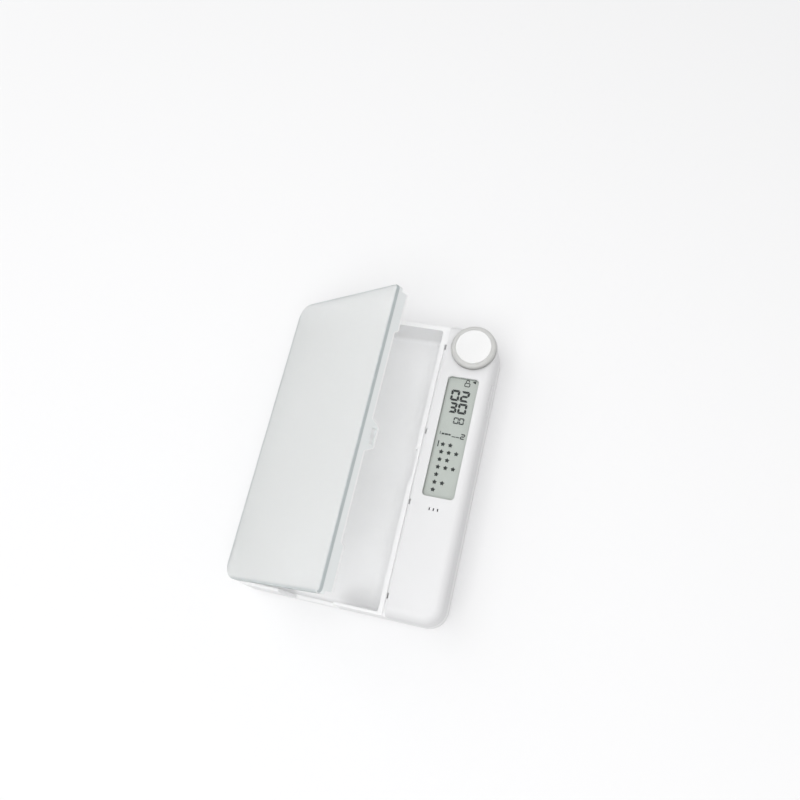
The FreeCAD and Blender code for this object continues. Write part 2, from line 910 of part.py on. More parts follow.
def lid_cover():
    """The lid, standing open at its rest angle."""
    lid = closed_lid()
    lid.rotate(Vector(hinge_x, 0, hinge_height), Vector(0, -1, 0), lid_rest_angle)
    return lid


def hinge_pin(side):
    """One steel pin, pressed into the end post. side is -1 at the near end and 1 at the far one."""
    inner = side * (far - post_length - hinge_pin_in_lid)
    outer = inner + side * hinge_pin_length
    return lengthwise(hinge_x, hinge_height, hinge_pin_radius, min(inner, outer), max(inner, outer))


# --- Dial -----------------------------------------------------------------------------------------
def dial_ring():
    """The grip ring with its web and hub."""
    web_bottom = dial_bottom + dial_web_rise
    skirt_inner = dial_radius - dial_skirt_wall
    points = [
        (shaft_radius, hub_bottom),
        (hub_radius, hub_bottom),
        (hub_radius, web_bottom),
        (skirt_inner, web_bottom),
        (skirt_inner, dial_bottom),
        (dial_radius, dial_bottom),
        (dial_radius, dial_top),
        (cap_radius, dial_top),
        (cap_radius, cap_bottom),
        (shaft_radius, cap_bottom),
    ]
    ring = fuse(revolve(points, dial_x, dial_y), shaft_segment(hub_bottom, cap_bottom))
    return round_edges(
        ring, min(dial_round, dial_rim - dial_round_margin),
        lambda edge: level_edge(dial_top)(edge) and edge.BoundBox.XLength > 2 * dial_radius - same_place,
    )


def shaft_segment(z0, z1):
    """The piece of the round shaft that its flat takes away. The hub's bore keeps it."""
    side = box(
        dial_x + shaft_radius - shaft_flat, dial_x + shaft_radius,
        dial_y - shaft_radius, dial_y + shaft_radius, z0, z1,
    )
    return upright(dial_x, dial_y, shaft_radius, z0, z1).common(side)


def dial_cap():
    """The cap: a disc with a soft edge, pressed into the ring."""
    cap = upright(dial_x, dial_y, cap_radius, cap_bottom, dial_top + cap_proud)
    return round_edges(cap, cap_round, level_edge(dial_top + cap_proud))


def dial_shaft():
    """The encoder's shaft, with the flat that drives the hub."""
    round_bar = upright(dial_x, dial_y, shaft_radius, shaft_bottom, shaft_top)
    return cut(round_bar, shaft_segment(hub_bottom, shaft_top))


def encoder_body():
    """The encoder's housing and bush, bored for the shaft and its plunger."""
    housing = centred_box(dial_x, dial_y, encoder_side, encoder_side, dial_board_top, encoder_top)
    bush = upright(dial_x, dial_y, bush_radius, encoder_top - joint_overlap, bush_top)
    bore = upright(
        dial_x, dial_y, shaft_radius + shaft_running_gap,
        dial_board_top + plunger_floor_gap - push_travel - switch_gap, bush_top + overshoot,
    )
    return cut(fuse(housing, bush), bore)


def press_plunger():
    """The switch's plunger under the shaft."""
    return upright(dial_x, dial_y, plunger_radius, plunger_bottom, shaft_bottom)


def dial_board():
    """The small board that carries the encoder."""
    return box(
        dial_board_left, dial_board_right, dial_board_near, dial_board_far,
        dial_board_height, dial_board_top,
    )


def indicator_led():
    """A round-topped light beside the encoder."""
    top = dial_board_top + led_height
    barrel = upright(led_x, dial_y, led_radius, dial_board_top, top)
    return round_edges(barrel, led_radius - led_flat, level_edge(top))


# --- Display --------------------------------------------------------------------------------------
def display_window():
    """The clear lens: a flange under the cover and a raised field in the opening."""
    return fuse(
        window_opening(lens_flange, lens_bottom, cover_ceiling),
        window_opening(-window_gap, lens_bottom, module_height - window_recess),
    )


def lcd_block(margin, z0, z1):
    """A plain block as wide as the display and margin all round."""
    return centred_box(
        window_x, window_y, window_width + 2 * (lcd_margin + margin),
        window_length + 2 * (lcd_margin + margin), z0, z1,
    )


def main_board():
    """The board, held to the cover by its four corners."""
    plate = box(board_left, board_right, board_near, board_far, board_bottom, board_top)
    holes = [
        upright(x, y, board_screw_radius, board_bottom - overshoot, board_top + overshoot)
        for x, y in board_screws_at
    ]
    return cut(plate, *holes)


def screw(x, y, seat, tip, head_radius, head_height, head_round, shank_radius):
    """A pan-head screw driven upwards: its head is below seat, and its point is at tip."""
    head = upright(x, y, head_radius, seat - head_height, seat)
    head = round_edges(head, head_round, level_edge(seat - head_height))
    return fuse(head, upright(x, y, shank_radius, seat - joint_overlap, tip))


def screw_tip():
    """How high the case screws reach."""
    return underside + screw_head_depth + screw_head_height + screw_reach


# --- Latch ----------------------------------------------------------------------------------------
def involute_point(base_radius, radius):
    """The angle that an involute from base_radius has turned through at radius."""
    turned = math.sqrt(max((radius / base_radius) ** 2 - 1, 0.0))
    return turned - math.atan(turned)


def latch_pinion():
    """A spur pinion with involute teeth, turning about an axis along Y, in mesh with the rack."""
    angle = math.radians(pressure_angle)
    base_radius = pitch_radius * math.cos(angle)
    tip_radius = pitch_radius + gear_module
    root_radius = pitch_radius - gear_dedendum * gear_module
    half_tooth = (math.pi * gear_module / 2 - gear_backlash) / (2 * pitch_radius)
    at_pitch = involute_point(base_radius, pitch_radius)
    flank_start = max(base_radius, root_radius)
    rise = (tip_radius - flank_start) / flank_steps
    radii = [flank_start + rise * step for step in range(flank_steps + 1)]
    points = []
    for tooth in range(pinion_teeth):
        middle = math.pi / 2 + 2 * math.pi * tooth / pinion_teeth
        half = [half_tooth + at_pitch - involute_point(base_radius, radius) for radius in radii]
        rising = [(root_radius, middle - half[0])] + [(r, middle - h) for r, h in zip(radii, half)]
        falling = [(r, 2 * middle - a) for r, a in reversed(rising)]
        points += rising + falling
    y0 = -pinion_width / 2
    outline = [
        (pinion_x + r * math.cos(a), y0, pinion_axis_height + r * math.sin(a)) for r, a in points
    ]
    blank = profile_prism(outline, (0, pinion_width, 0))
    bore = lengthwise(pinion_x, pinion_axis_height, latch_shaft_radius, y0 - overshoot, overshoot - y0)
    return at_latch(cut(blank, bore))


def latch_bolt():
    """The bolt: a nose that goes through the lid's tab, a guided plate, and a rack below it."""
    half_nose = bolt_nose_width / 2
    nose = box(bolt_tip, bolt_plate_left + joint_overlap, -half_nose, half_nose, bolt_bottom, bolt_top)
    nose = round_edges(
        nose, bolt_nose_round,
        lambda edge: edge.BoundBox.XMax < bolt_tip + same_place and edge.BoundBox.YLength > half_nose,
    )
    half_plate = bolt_plate_width / 2
    plate = box(bolt_plate_left, bolt_plate_right, -half_plate, half_plate, bolt_bottom, bolt_top)
    half_rack = pinion_width / 2
    bar = box(bolt_plate_left, bolt_plate_right, -half_rack, half_rack, rack_root, bolt_top)
    pitch = math.pi * gear_module
    addendum = rack_addendum * gear_module
    slope = math.tan(math.radians(pressure_angle))
    half_tooth = (pitch / 2 - gear_backlash) / 2
    at_root = half_tooth + (rack_root - pitch_line) * slope
    at_tip = half_tooth - addendum * slope
    first = math.ceil((bolt_plate_left + at_root - pinion_x) / pitch - 0.5)
    last = math.floor((bolt_plate_right - at_root - pinion_x) / pitch - 0.5)
    teeth = []
    for number in range(first, last + 1):
        x = pinion_x + (number + 0.5) * pitch
        points = (
            (x - at_root, -half_rack, rack_root + joint_overlap),
            (x - at_root, -half_rack, rack_root),
            (x - at_tip, -half_rack, pitch_line - addendum),
            (x + at_tip, -half_rack, pitch_line - addendum),
            (x + at_root, -half_rack, rack_root),
            (x + at_root, -half_rack, rack_root + joint_overlap),
        )
        teeth.append(profile_prism(points, (0, pinion_width, 0)))
    return at_latch(fuse(plate, nose, bar, *teeth))


def latch_guide():
    """The bracket: two cheeks on a foot, with a ledge on each cheek under the bolt's plate."""
    top = bolt_top + guide_top_rise
    foot = box(guide_left, guide_right, -guide_outer, guide_outer, floor_top, floor_top + guide_wall)
    ledge_top = bolt_bottom - guide_gap / 2
    walls = []
    for side in (-1, 1):
        inner, outer = sorted((side * guide_inner, side * guide_outer))
        walls.append(box(guide_left, guide_right, inner, outer, floor_top, top))
        inner, outer = sorted((side * (guide_inner - guide_ledge_width), side * guide_outer))
        walls.append(box(
            guide_left, guide_right, inner, outer, ledge_top - guide_ledge_thickness, ledge_top,
        ))
    shaft_hole = lengthwise(
        pinion_x, pinion_axis_height, latch_shaft_radius + shaft_hole_gap, 0, guide_outer + overshoot,
    )
    pinion_room = lengthwise(
        pinion_x, pinion_axis_height, pitch_radius + gear_module + guide_pinion_gap,
        -guide_inner, guide_inner,
    )
    return at_latch(cut(fuse(foot.cut(pinion_room), *walls), shaft_hole))


def latch_gearbox():
    """The gearbox, bored for its output shaft."""
    half = gearbox_side / 2
    block = box(
        pinion_x - half, pinion_x + half, gearbox_near, gearbox_far,
        pinion_axis_height - gearbox_height / 2, pinion_axis_height + gearbox_height / 2,
    )
    collar = lengthwise(
        pinion_x, pinion_axis_height, shaft_collar_radius,
        gearbox_near - shaft_collar_length, gearbox_near + joint_overlap,
    )
    bore = lengthwise(
        pinion_x, pinion_axis_height, latch_shaft_radius + hinge_running_gap,
        gearbox_near - shaft_collar_length - overshoot, gearbox_near + gearbox_bore_depth,
    )
    return at_latch(cut(fuse(block, collar), bore))


def latch_motor():
    """A round motor with two flats, behind the gearbox."""
    can = lengthwise(pinion_x, pinion_axis_height, motor_radius, gearbox_far, motor_far)
    flats = box(
        pinion_x - motor_radius, pinion_x + motor_radius, gearbox_far, motor_far,
        pinion_axis_height - gearbox_height / 2, pinion_axis_height + gearbox_height / 2,
    )
    return at_latch(can.common(flats))


def latch_shaft():
    """The gearbox's output shaft."""
    return at_latch(lengthwise(
        pinion_x, pinion_axis_height, latch_shaft_radius,
        -pinion_width / 2, gearbox_near + gearbox_bore_depth - shaft_end_room,
    ))


# --- Buttons and switches -------------------------------------------------------------------------
def side_button():
    """The long side button, its inner flange and the stem that meets the switch."""
    gap = side_button_gap
    flange_right = cover_inner_right - gap
    flange_left = flange_right - side_flange_thickness
    bar = side_button_form(
        side_button_length - 2 * gap, side_button_height - 2 * gap,
        flange_left, right + side_button_proud,
    )
    bar = round_edges(
        bar, side_button_round,
        lambda edge: edge.BoundBox.XMin > right + side_button_proud - same_place,
    )
    flange = side_button_form(
        side_button_length + 2 * side_flange_lip, side_button_height + 2 * side_flange_lip - gap,
        flange_left, flange_right,
    )
    stem = box(
        side_stem_tip, flange_left + joint_overlap,
        side_button_y - side_stem_width / 2, side_button_y + side_stem_width / 2,
        side_button_level - side_stem_height / 2, side_button_level + side_stem_height / 2,
    )
    return fuse(bar, flange, stem)


def side_switch():
    """The side button's switch, hanging under the board's edge."""
    return box(
        side_switch_face - side_switch_width, side_switch_face,
        side_button_y - side_switch_length / 2, side_button_y + side_switch_length / 2,
        board_bottom - side_switch_height, board_bottom,
    )


def reset_plunger():
    """The recessed reset button: a long pin with a flange that keeps it in its tube."""
    pin = upright(reset_x, reset_y, reset_radius, reset_bottom, reset_top)
    flange = upright(
        reset_x, reset_y, reset_flange_radius, reset_tube_top, reset_tube_top + reset_flange_thickness,
    )
    return fuse(pin, flange)


def reset_switch():
    """The switch over the reset button."""
    return centred_box(
        reset_x, reset_y, reset_switch_side, reset_switch_side,
        board_bottom - reset_switch_height, board_bottom,
    )


# --- Power ----------------------------------------------------------------------------------------
def battery_cell(x, button_side):
    """An AAA cell. button_side is 1 where its button is at the far end, and -1 where it is near."""
    can = lengthwise(x, cell_level, cell_radius, cells_near, cells_far)
    can = round_edges(can, cell_edge_round, lambda edge: edge.BoundBox.YLength < same_place)
    if button_side > 0:
        y0, y1 = cells_far - joint_overlap, cells_far + cell_button_length
    else:
        y0, y1 = cells_near - cell_button_length, cells_near + joint_overlap
    return fuse(can, lengthwise(x, cell_level, cell_button_radius, y0, y1))


def compartment_end(side):
    """The end wall of the compartment and the face of the cells beside it."""
    return (compartment_far, cells_far) if side > 0 else (compartment_near, cells_near)


def spring_contact(x, side):
    """A bent leaf that presses on a cell's flat end. side is 1 at the far end and -1 at the near one."""
    wall, cell_end = compartment_end(side)
    tip = cell_end + side * contact_gap
    thick = side * contact_thickness
    half = contact_height / 2
    points = (
        (x, wall, cell_level - half),
        (x, wall, cell_level + half),
        (x, wall - thick, cell_level + half),
        (x, tip, cell_level + contact_thickness),
        (x, tip, cell_level - contact_thickness),
        (x, tip + 2 * thick, cell_level - contact_thickness),
        (x, wall - thick, cell_level + half / 2),
        (x, wall - thick, cell_level - half),
    )
    leaf = profile_prism(points, (contact_width, 0, 0))
    leaf.translate(Vector(-contact_width / 2, 0, 0))
    return leaf


def plate_contact(x, side):
    """A flat plate with a raised boss for a cell's button. side is as for the spring."""
    wall, cell_end = compartment_end(side)
    half = contact_height / 2
    face = wall - side * contact_thickness
    plate = box(
        x - contact_width / 2, x + contact_width / 2, min(wall, face), max(wall, face),
        cell_level - half, cell_level + half,
    )
    boss_end = cell_end + side * (cell_button_length + contact_gap)
    boss = lengthwise(x, cell_level, cell_button_radius, min(wall, boss_end), max(wall, boss_end))
    return fuse(plate, boss)


def battery_door():
    """The door: a plate with four tabs and a ribbed thumb grip."""
    plate = box(door_left, door_right, door_near, door_far, underside, door_top - door_tab_gap)
    tabs = []
    tab_top = door_top - door_tab_gap
    for tab_y in door_tab_places():
        for x0, x1 in (
            (door_left - door_tab_width, door_left + joint_overlap),
            (door_right - joint_overlap, door_right + door_tab_width),
        ):
            tabs.append(box(
                x0, x1, tab_y - door_tab_length / 2, tab_y + door_tab_length / 2,
                tab_top - door_tab_thickness, tab_top,
            ))
    grips = [
        centred_box(
            module_middle, door_near + grip_from_near + index * grip_pitch,
            grip_length, grip_width, underside - overshoot, underside + grip_depth,
        )
        for index in range(grip_count)
    ]
    return cut(fuse(plate, *tabs), *grips)


# --- Feet and fasteners ---------------------------------------------------------------------------
def rubber_feet():
    """Four pads, pressed into pockets of the underside."""
    top = underside + foot_pocket_depth
    return Part.makeCompound([upright(x, y, foot_radius, 0, top) for x, y in feet_at])


def case_screws():
    """Four screws from the underside into the cover's bosses."""
    seat = underside + screw_head_depth + screw_head_height
    return Part.makeCompound([
        screw(
            x, y, seat, screw_tip(),
            screw_head_radius, screw_head_height, screw_head_round, screw_shank_radius,
        )
        for x, y in case_screws_at
    ])


def board_screws():
    """Four screws that hold the board to the cover."""
    return Part.makeCompound([
        screw(
            x, y, board_bottom, board_bottom + board_screw_reach, board_screw_head_radius,
            board_screw_head_height, board_screw_head_round, board_screw_radius,
        )
        for x, y in board_screws_at
    ])


def main():
    """Builds every node and writes it."""
    os.makedirs("parts", exist_ok=True)
    nodes = {
        "base_shell": base_shell(),
        "module_cover": module_cover(),
        "lid_cover": lid_cover(),
        "hinge_pin_near": hinge_pin(-1),
        "hinge_pin_far": hinge_pin(1),
        "dial_ring": dial_ring(),
        "dial_cap": dial_cap(),
        "dial_shaft": dial_shaft(),
        "encoder_body": encoder_body(),
        "press_plunger": press_plunger(),
        "dial_board": dial_board(),
        "indicator_led": indicator_led(),
        "display_window": display_window(),
        "lcd_panel": lcd_block(0, lcd_bottom, lcd_top),
        "lcd_backlight": lcd_block(0, board_top, lcd_bottom),
        "lcd_frame": cut(
            lcd_block(frame_wall, board_top, lens_bottom),
            lcd_block(0, board_top - overshoot, lens_bottom + overshoot),
        ),
        "main_board": main_board(),
        "control_chip": centred_box(
            window_x, window_far - chip_from_window_end, chip_side, chip_side,
            board_bottom - chip_thickness, board_bottom,
        ),
        "buzzer": upright(
            sounder_x, sounder_y, sounder_radius, cover_ceiling - sounder_height, cover_ceiling,
        ),
        "board_screws": board_screws(),
        "case_screws": case_screws(),
        "side_button": side_button(),
        "side_switch": side_switch(),
        "reset_plunger": reset_plunger(),
        "reset_switch": reset_switch(),
        "latch_bolt": latch_bolt(),
        "latch_pinion": latch_pinion(),
        "latch_shaft": latch_shaft(),
        "latch_gearbox": latch_gearbox(),
        "latch_motor": latch_motor(),
        "latch_guide": latch_guide(),
        "battery_cell_left": battery_cell(cells_x[0], cell_sides[0]),
        "battery_cell_right": battery_cell(cells_x[1], cell_sides[1]),
        "spring_contacts": Part.makeCompound([
            spring_contact(x, -side) for x, side in zip(cells_x, cell_sides)
        ]),
        "plate_contacts": Part.makeCompound([
            plate_contact(x, side) for x, side in zip(cells_x, cell_sides)
        ]),
        "battery_door": battery_door(),
        "rubber_feet": rubber_feet(),
    }
    for name, shape in nodes.items():
        save(name, shape)


main()
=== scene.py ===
"""Timed lock container: a tray with a frosted, hinged lid and a control module with a dial and a display.

Lengths are in metres where nothing else is said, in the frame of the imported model: +Z up, +X to the
module's side, +Y from the near end to the dial's end.
"""

import logging
import math
from dataclasses import dataclass
from enum import Enum
from typing import Any, Mapping, Sequence, Union

import bpy
import numpy as np
from mathutils import Matrix, Vector


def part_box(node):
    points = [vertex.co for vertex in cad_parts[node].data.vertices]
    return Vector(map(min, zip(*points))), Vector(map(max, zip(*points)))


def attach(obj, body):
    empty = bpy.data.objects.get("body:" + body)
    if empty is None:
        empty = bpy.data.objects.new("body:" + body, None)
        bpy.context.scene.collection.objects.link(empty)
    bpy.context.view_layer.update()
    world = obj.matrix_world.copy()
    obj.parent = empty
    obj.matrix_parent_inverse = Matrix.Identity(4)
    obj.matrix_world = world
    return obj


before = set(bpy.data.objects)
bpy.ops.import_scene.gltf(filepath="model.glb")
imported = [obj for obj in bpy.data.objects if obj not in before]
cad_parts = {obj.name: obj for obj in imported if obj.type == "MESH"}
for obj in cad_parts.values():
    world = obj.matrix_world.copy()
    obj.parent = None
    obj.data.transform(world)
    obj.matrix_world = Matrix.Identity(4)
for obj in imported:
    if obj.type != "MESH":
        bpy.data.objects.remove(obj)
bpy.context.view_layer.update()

MM = 0.001
WHITE = (1.0, 1.0, 1.0)

log = logging.getLogger("timed_lock_container")

Colour = tuple[float, float, float]
Pair = tuple[float, float]
Place = tuple[float, float, float]
Points = np.ndarray


# --- Shader maths ---
class Course(Enum):
    """How a ramp runs from its start to its end."""

    EASED = "SMOOTHSTEP"
    STRAIGHT = "LINEAR"


@dataclass(frozen=True)
class Noise:
    """Cloudy noise from 0 to 1.

    Attributes:
        size: size of its patches.
        detail: number of finer layers on them.
        roughness: strength of those layers.
        ends: values that become 0 and 1, or None where all of them stay as they are.
    """

    size: float
    detail: float = 2.0
    roughness: float = 0.5
    ends: Pair | None = None


class Wire:
    """One output socket of a node tree, which can be added, multiplied and so on like a number."""

    def __init__(self, graph: "Graph", socket: bpy.types.NodeSocket | None) -> None:
        """Keeps the socket and the graph that it belongs to."""
        self.graph = graph
        self.socket = socket

    def __add__(self, other: "Operand") -> "Wire":
        """This value plus the other."""
        return self.graph.maths("ADD", self, other)

    __radd__ = __add__

    def __sub__(self, other: "Operand") -> "Wire":
        """This value less the other."""
        return self.graph.maths("SUBTRACT", self, other)

    def __rsub__(self, other: "Operand") -> "Wire":
        """The other value less this."""
        return self.graph.maths("SUBTRACT", other, self)

    def __mul__(self, other: "Operand") -> "Wire":
        """This value times the other."""
        return self.graph.maths("MULTIPLY", self, other)

    __rmul__ = __mul__

    def __pow__(self, other: "Operand") -> "Wire":
        """This value raised to the other."""
        return self.graph.maths("POWER", self, other)

    def ramp(self, start: float, end: float, course: Course = Course.EASED) -> "Wire":
        """0 where this value is at start, 1 where it is at end, and held outside them."""
        inputs = {0: self, 1: start, 2: end, 3: 0.0, 4: 1.0}
        return self.graph.node("ShaderNodeMapRange", {"interpolation_type": course.value}, inputs)


Operand = Union[Wire, int, float]


class Graph:
    """The node tree of a material or of the sky."""

    def __init__(self, owner: Union[bpy.types.Material, bpy.types.World]) -> None:
        """Empties the owner's node tree."""
        owner.use_nodes = True
        self.tree = owner.node_tree
        self.tree.nodes.clear()

    def node(
        self,
        kind: str,
        settings: Mapping[str, Any] | None = None,
        inputs: Mapping[Union[str, int], Any] | None = None,
        output: Union[str, int] = 0,
    ) -> Wire:
        """Adds a node, its settings first and then its inputs.

        Args:
            kind: the node's type, such as "ShaderNodeTexNoise".
            settings: properties of the node, such as a Math node's operation.
            inputs: value or wire for each named or numbered socket.
            output: the socket that is handed back.

        Returns:
            The chosen output as a wire.
        """
        made = self.tree.nodes.new(kind)
        for name, value in (settings or {}).items():
            setattr(made, name, value)
        for key, value in (inputs or {}).items():
            socket = made.inputs[key]
            if isinstance(value, Wire):
                self.tree.links.new(value.socket, socket)
            else:
                socket.default_value = value
        return Wire(self, made.outputs[output] if made.outputs else None)

    def maths(self, operation: str, a: Operand, b: Operand) -> Wire:
        """One Math node on two values."""
        return self.node("ShaderNodeMath", {"operation": operation}, {0: a, 1: b})

    def larger(self, a: Operand, b: Operand) -> Wire:
        """The larger of two values."""
        return self.maths("MAXIMUM", a, b)

    def smaller(self, a: Operand, b: Operand) -> Wire:
        """The smaller of two values."""
        return self.maths("MINIMUM", a, b)

    def size(self, a: Operand) -> Wire:
        """A value without its sign."""
        return self.node("ShaderNodeMath", {"operation": "ABSOLUTE"}, {0: a})

    def blend(self, factor: Operand, a: Union[Wire, Colour], b: Union[Wire, Colour]) -> Wire:
        """The colour a where factor is 0 and b where it is 1."""
        inputs = {0: factor, 6: paint(a), 7: paint(b)}
        return self.node("ShaderNodeMix", {"data_type": "RGBA"}, inputs, 2)

    def mix(self, factor: Wire, a: Wire, b: Wire) -> Wire:
        """The shader a where factor is 0 and b where it is 1."""
        return self.node("ShaderNodeMixShader", inputs={0: factor, 1: a, 2: b})

    def place(self) -> Wire:
        """The point on the piece, in the piece's own frame."""
        return self.node("ShaderNodeTexCoord", output="Object")

    def axes(self) -> tuple[Wire, Wire, Wire]:
        """The point's x, y and z as three values."""
        point = self.place()
        return tuple(self.node("ShaderNodeSeparateXYZ", inputs={0: point}, output=i) for i in range(3))

    def noise(self, kind: Noise) -> Wire:
        """Noise over the piece, eased between its ends where it has them.

        Args:
            kind: size, layers and ends of the noise.

        Returns:
            The noise, from 0 to 1.
        """
        inputs = {"Scale": 1 / kind.size, "Detail": kind.detail, "Roughness": kind.roughness}
        made = self.node("ShaderNodeTexNoise", inputs={"Vector": self.place(), **inputs})
        return made.ramp(*kind.ends) if kind.ends else made

    def cells(self, size: float, randomness: float, distance: str = "EUCLIDEAN") -> Wire:
        """Distance to the nearest of points that are scattered about size apart, as a share of size."""
        inputs = {"Vector": self.place(), "Scale": 1 / size, "Randomness": randomness}
        return self.node("ShaderNodeTexVoronoi", {"distance": distance}, inputs)

    def bump(self, height: Wire, depth: float, strength: float) -> Wire:
        """The normal of a surface that height raises by depth."""
        inputs = {"Height": height, "Distance": depth, "Strength": strength}
        return self.node("ShaderNodeBump", inputs=inputs)

    def principled(self, **sockets: Any) -> Wire:
        """A Principled shader; an underscore in a socket's name stands for a space."""
        inputs = {name.replace("_", " "): value for name, value in sockets.items()}
        return self.node("ShaderNodeBsdfPrincipled", inputs=inputs)

    def background_rays(self) -> Wire:
        """Tells the rays that show the backdrop to the camera, straight or by way of metal or glass.

        Returns:
            1 for camera, glossy and transmitted rays and 0 for the others.
        """
        camera, glossy, through = (
            self.node("ShaderNodeLightPath", output=name)
            for name in ("Is Camera Ray", "Is Glossy Ray", "Is Transmission Ray")
        )
        return self.larger(camera, self.larger(glossy, through))


def paint(colour: Union[Wire, Colour]) -> Union[Wire, tuple[float, ...]]:
    """A colour as a socket takes it, with its fourth number."""
    return colour if isinstance(colour, Wire) else (*colour, 1.0)


def shade(colour: Colour, share: float) -> Colour:
    """A colour made darker, or paler where share is above 1."""
    return tuple(c * share for c in colour)


# --- Finishes ---
class Finish:
    """A surface finish, which makes its own material."""

    def make(self, name: str) -> bpy.types.Material:
        """Makes the material.

        Args:
            name: the material's name.

        Returns:
            The material, with this finish linked to its output.
        """
        material = bpy.data.materials.new(name)
        g = Graph(material)
        g.node("ShaderNodeOutputMaterial", inputs={"Surface": self.surface(g)})
        return material

    def surface(self, g: Graph) -> Wire:
        """The shader, which each kind of finish builds from nodes of g."""
        raise NotImplementedError


@dataclass(frozen=True)
class Grained(Finish):
    """A finish whose colour wanders in soft patches and whose faces have a fine grain.

    Attributes:
        tint: its colour.
        roughness: how matt it is, on average.
        speckle: how far the roughness varies with the grain.
        drift: share of the tint that is left in the patches, which are paler where it is above 1.
        cloud: size of the patches.
        grain: noise of the grain.
        depth: depth of the grain.
        relief: how strongly that depth shows.
    """

    tint: Colour
    roughness: float = 0.42
    speckle: float = 0.06
    drift: float = 0.96
    cloud: float = 0.045
    grain: Noise = Noise(0.00035, roughness=0.6)
    depth: float = 0.000012
    relief: float = 0.5

    def skin(self, g: Graph) -> dict[str, Any]:
        """One noise varies the colour, and another the roughness and the normal.

        Args:
            g: the nodes.

        Returns:
            Those three, by the names of a Principled shader's sockets.
        """
        clouds = g.noise(Noise(self.cloud, ends=(0.3, 0.7)))
        fine = g.noise(self.grain)
        return {
            "Base_Color": g.blend(clouds, self.tint, shade(self.tint, self.drift)),
            "Roughness": self.roughness - self.speckle / 2 + self.speckle * fine,
            "Normal": g.bump(fine, self.depth, self.relief),
        }


@dataclass(frozen=True)
class MouldedPlastic(Grained):
    """Opaque injection-moulded plastic with a fine sparked grain.

    Attributes:
        rubbed: noise of the patches that are rubbed smoother.
        polish: how much smoother they are.
    """

    rubbed: Noise = Noise(0.008, 4.0, 0.7, (0.52, 0.78))
    polish: float = 0.05

    def surface(self, g: Graph) -> Wire:
        """The grained skin, with the rubbed patches taken off its roughness.

        Args:
            g: the nodes.

        Returns:
            The shader.
        """
        skin = self.skin(g)
        skin["Roughness"] -= self.polish * g.noise(self.rubbed)
        return g.principled(**skin, Specular_IOR_Level=0.5)


@dataclass(frozen=True)
class SkirtOutline:
    """Where the lid's skirt ends, as the lid is drawn flat.

    Attributes:
        depth: depth of the skirt below the lid's top.
        ends: distances from the middle between which it slopes to the deeper ends.
        ends_more: how much deeper the ends are.
        tab_middle: y of the locking tab.
        tab: distances from there between which the tab's sides slope.
        tab_more: how much deeper the tab is.
    """

    depth: float = 0.0072
    ends: Pair = (0.0644, 0.0664)
    ends_more: float = 0.0026
    tab_middle: float = -0.0010
    tab: Pair = (0.0064, 0.0098)
    tab_more: float = 0.0061

    def lower_edge(self, g: Graph, y: Wire) -> Wire:
        """The plain depth, plus a straight step at each end and a trapezoid in the middle.

        Args:
            g: the nodes.
            y: the point's y.

        Returns:
            Depth of the skirt's lower edge at y.
        """
        ends = g.size(y).ramp(*self.ends, Course.STRAIGHT)
        tab = 1 - g.size(y - self.tab_middle).ramp(*self.tab, Course.STRAIGHT)
        return self.depth + self.ends_more * ends + self.tab_more * tab


@dataclass(frozen=True)
class LidBands:
    """Pairs of distances between which the lid's bands come in.

    Attributes:
        end: past either end of the lid, for the darker painted shade along the edges.
        side: from the hinge axis towards the skirt, for that painted shade.
        free: past the skirt's outer face, for the turn from the broad face to the fold.
        line: past the skirt's outer face, for the painted highlight, a bright line beside the fold.
        skirt: below the lid's top, for the skirt.
        fold: below the lid's top, for the start of the painted shade, a dark band under the fold.
        fold_end: below the lid's top, for the end of that band.
        lower: below the skirt's lower edge, for the painted highlight, a bright edge along it.
    """

    end: Pair = (-0.0022, -0.0004)
    side: Pair = (-0.0024, 0.0004)
    free: Pair = (-0.0024, -0.0017)
    line: Pair = (-0.0032, -0.0025)
    skirt: Pair = (0.0004, 0.0012)
    fold: Pair = (0.0001, 0.0006)
    fold_end: Pair = (0.0018, 0.0027)
    lower: Pair = (-0.0012, -0.0006)


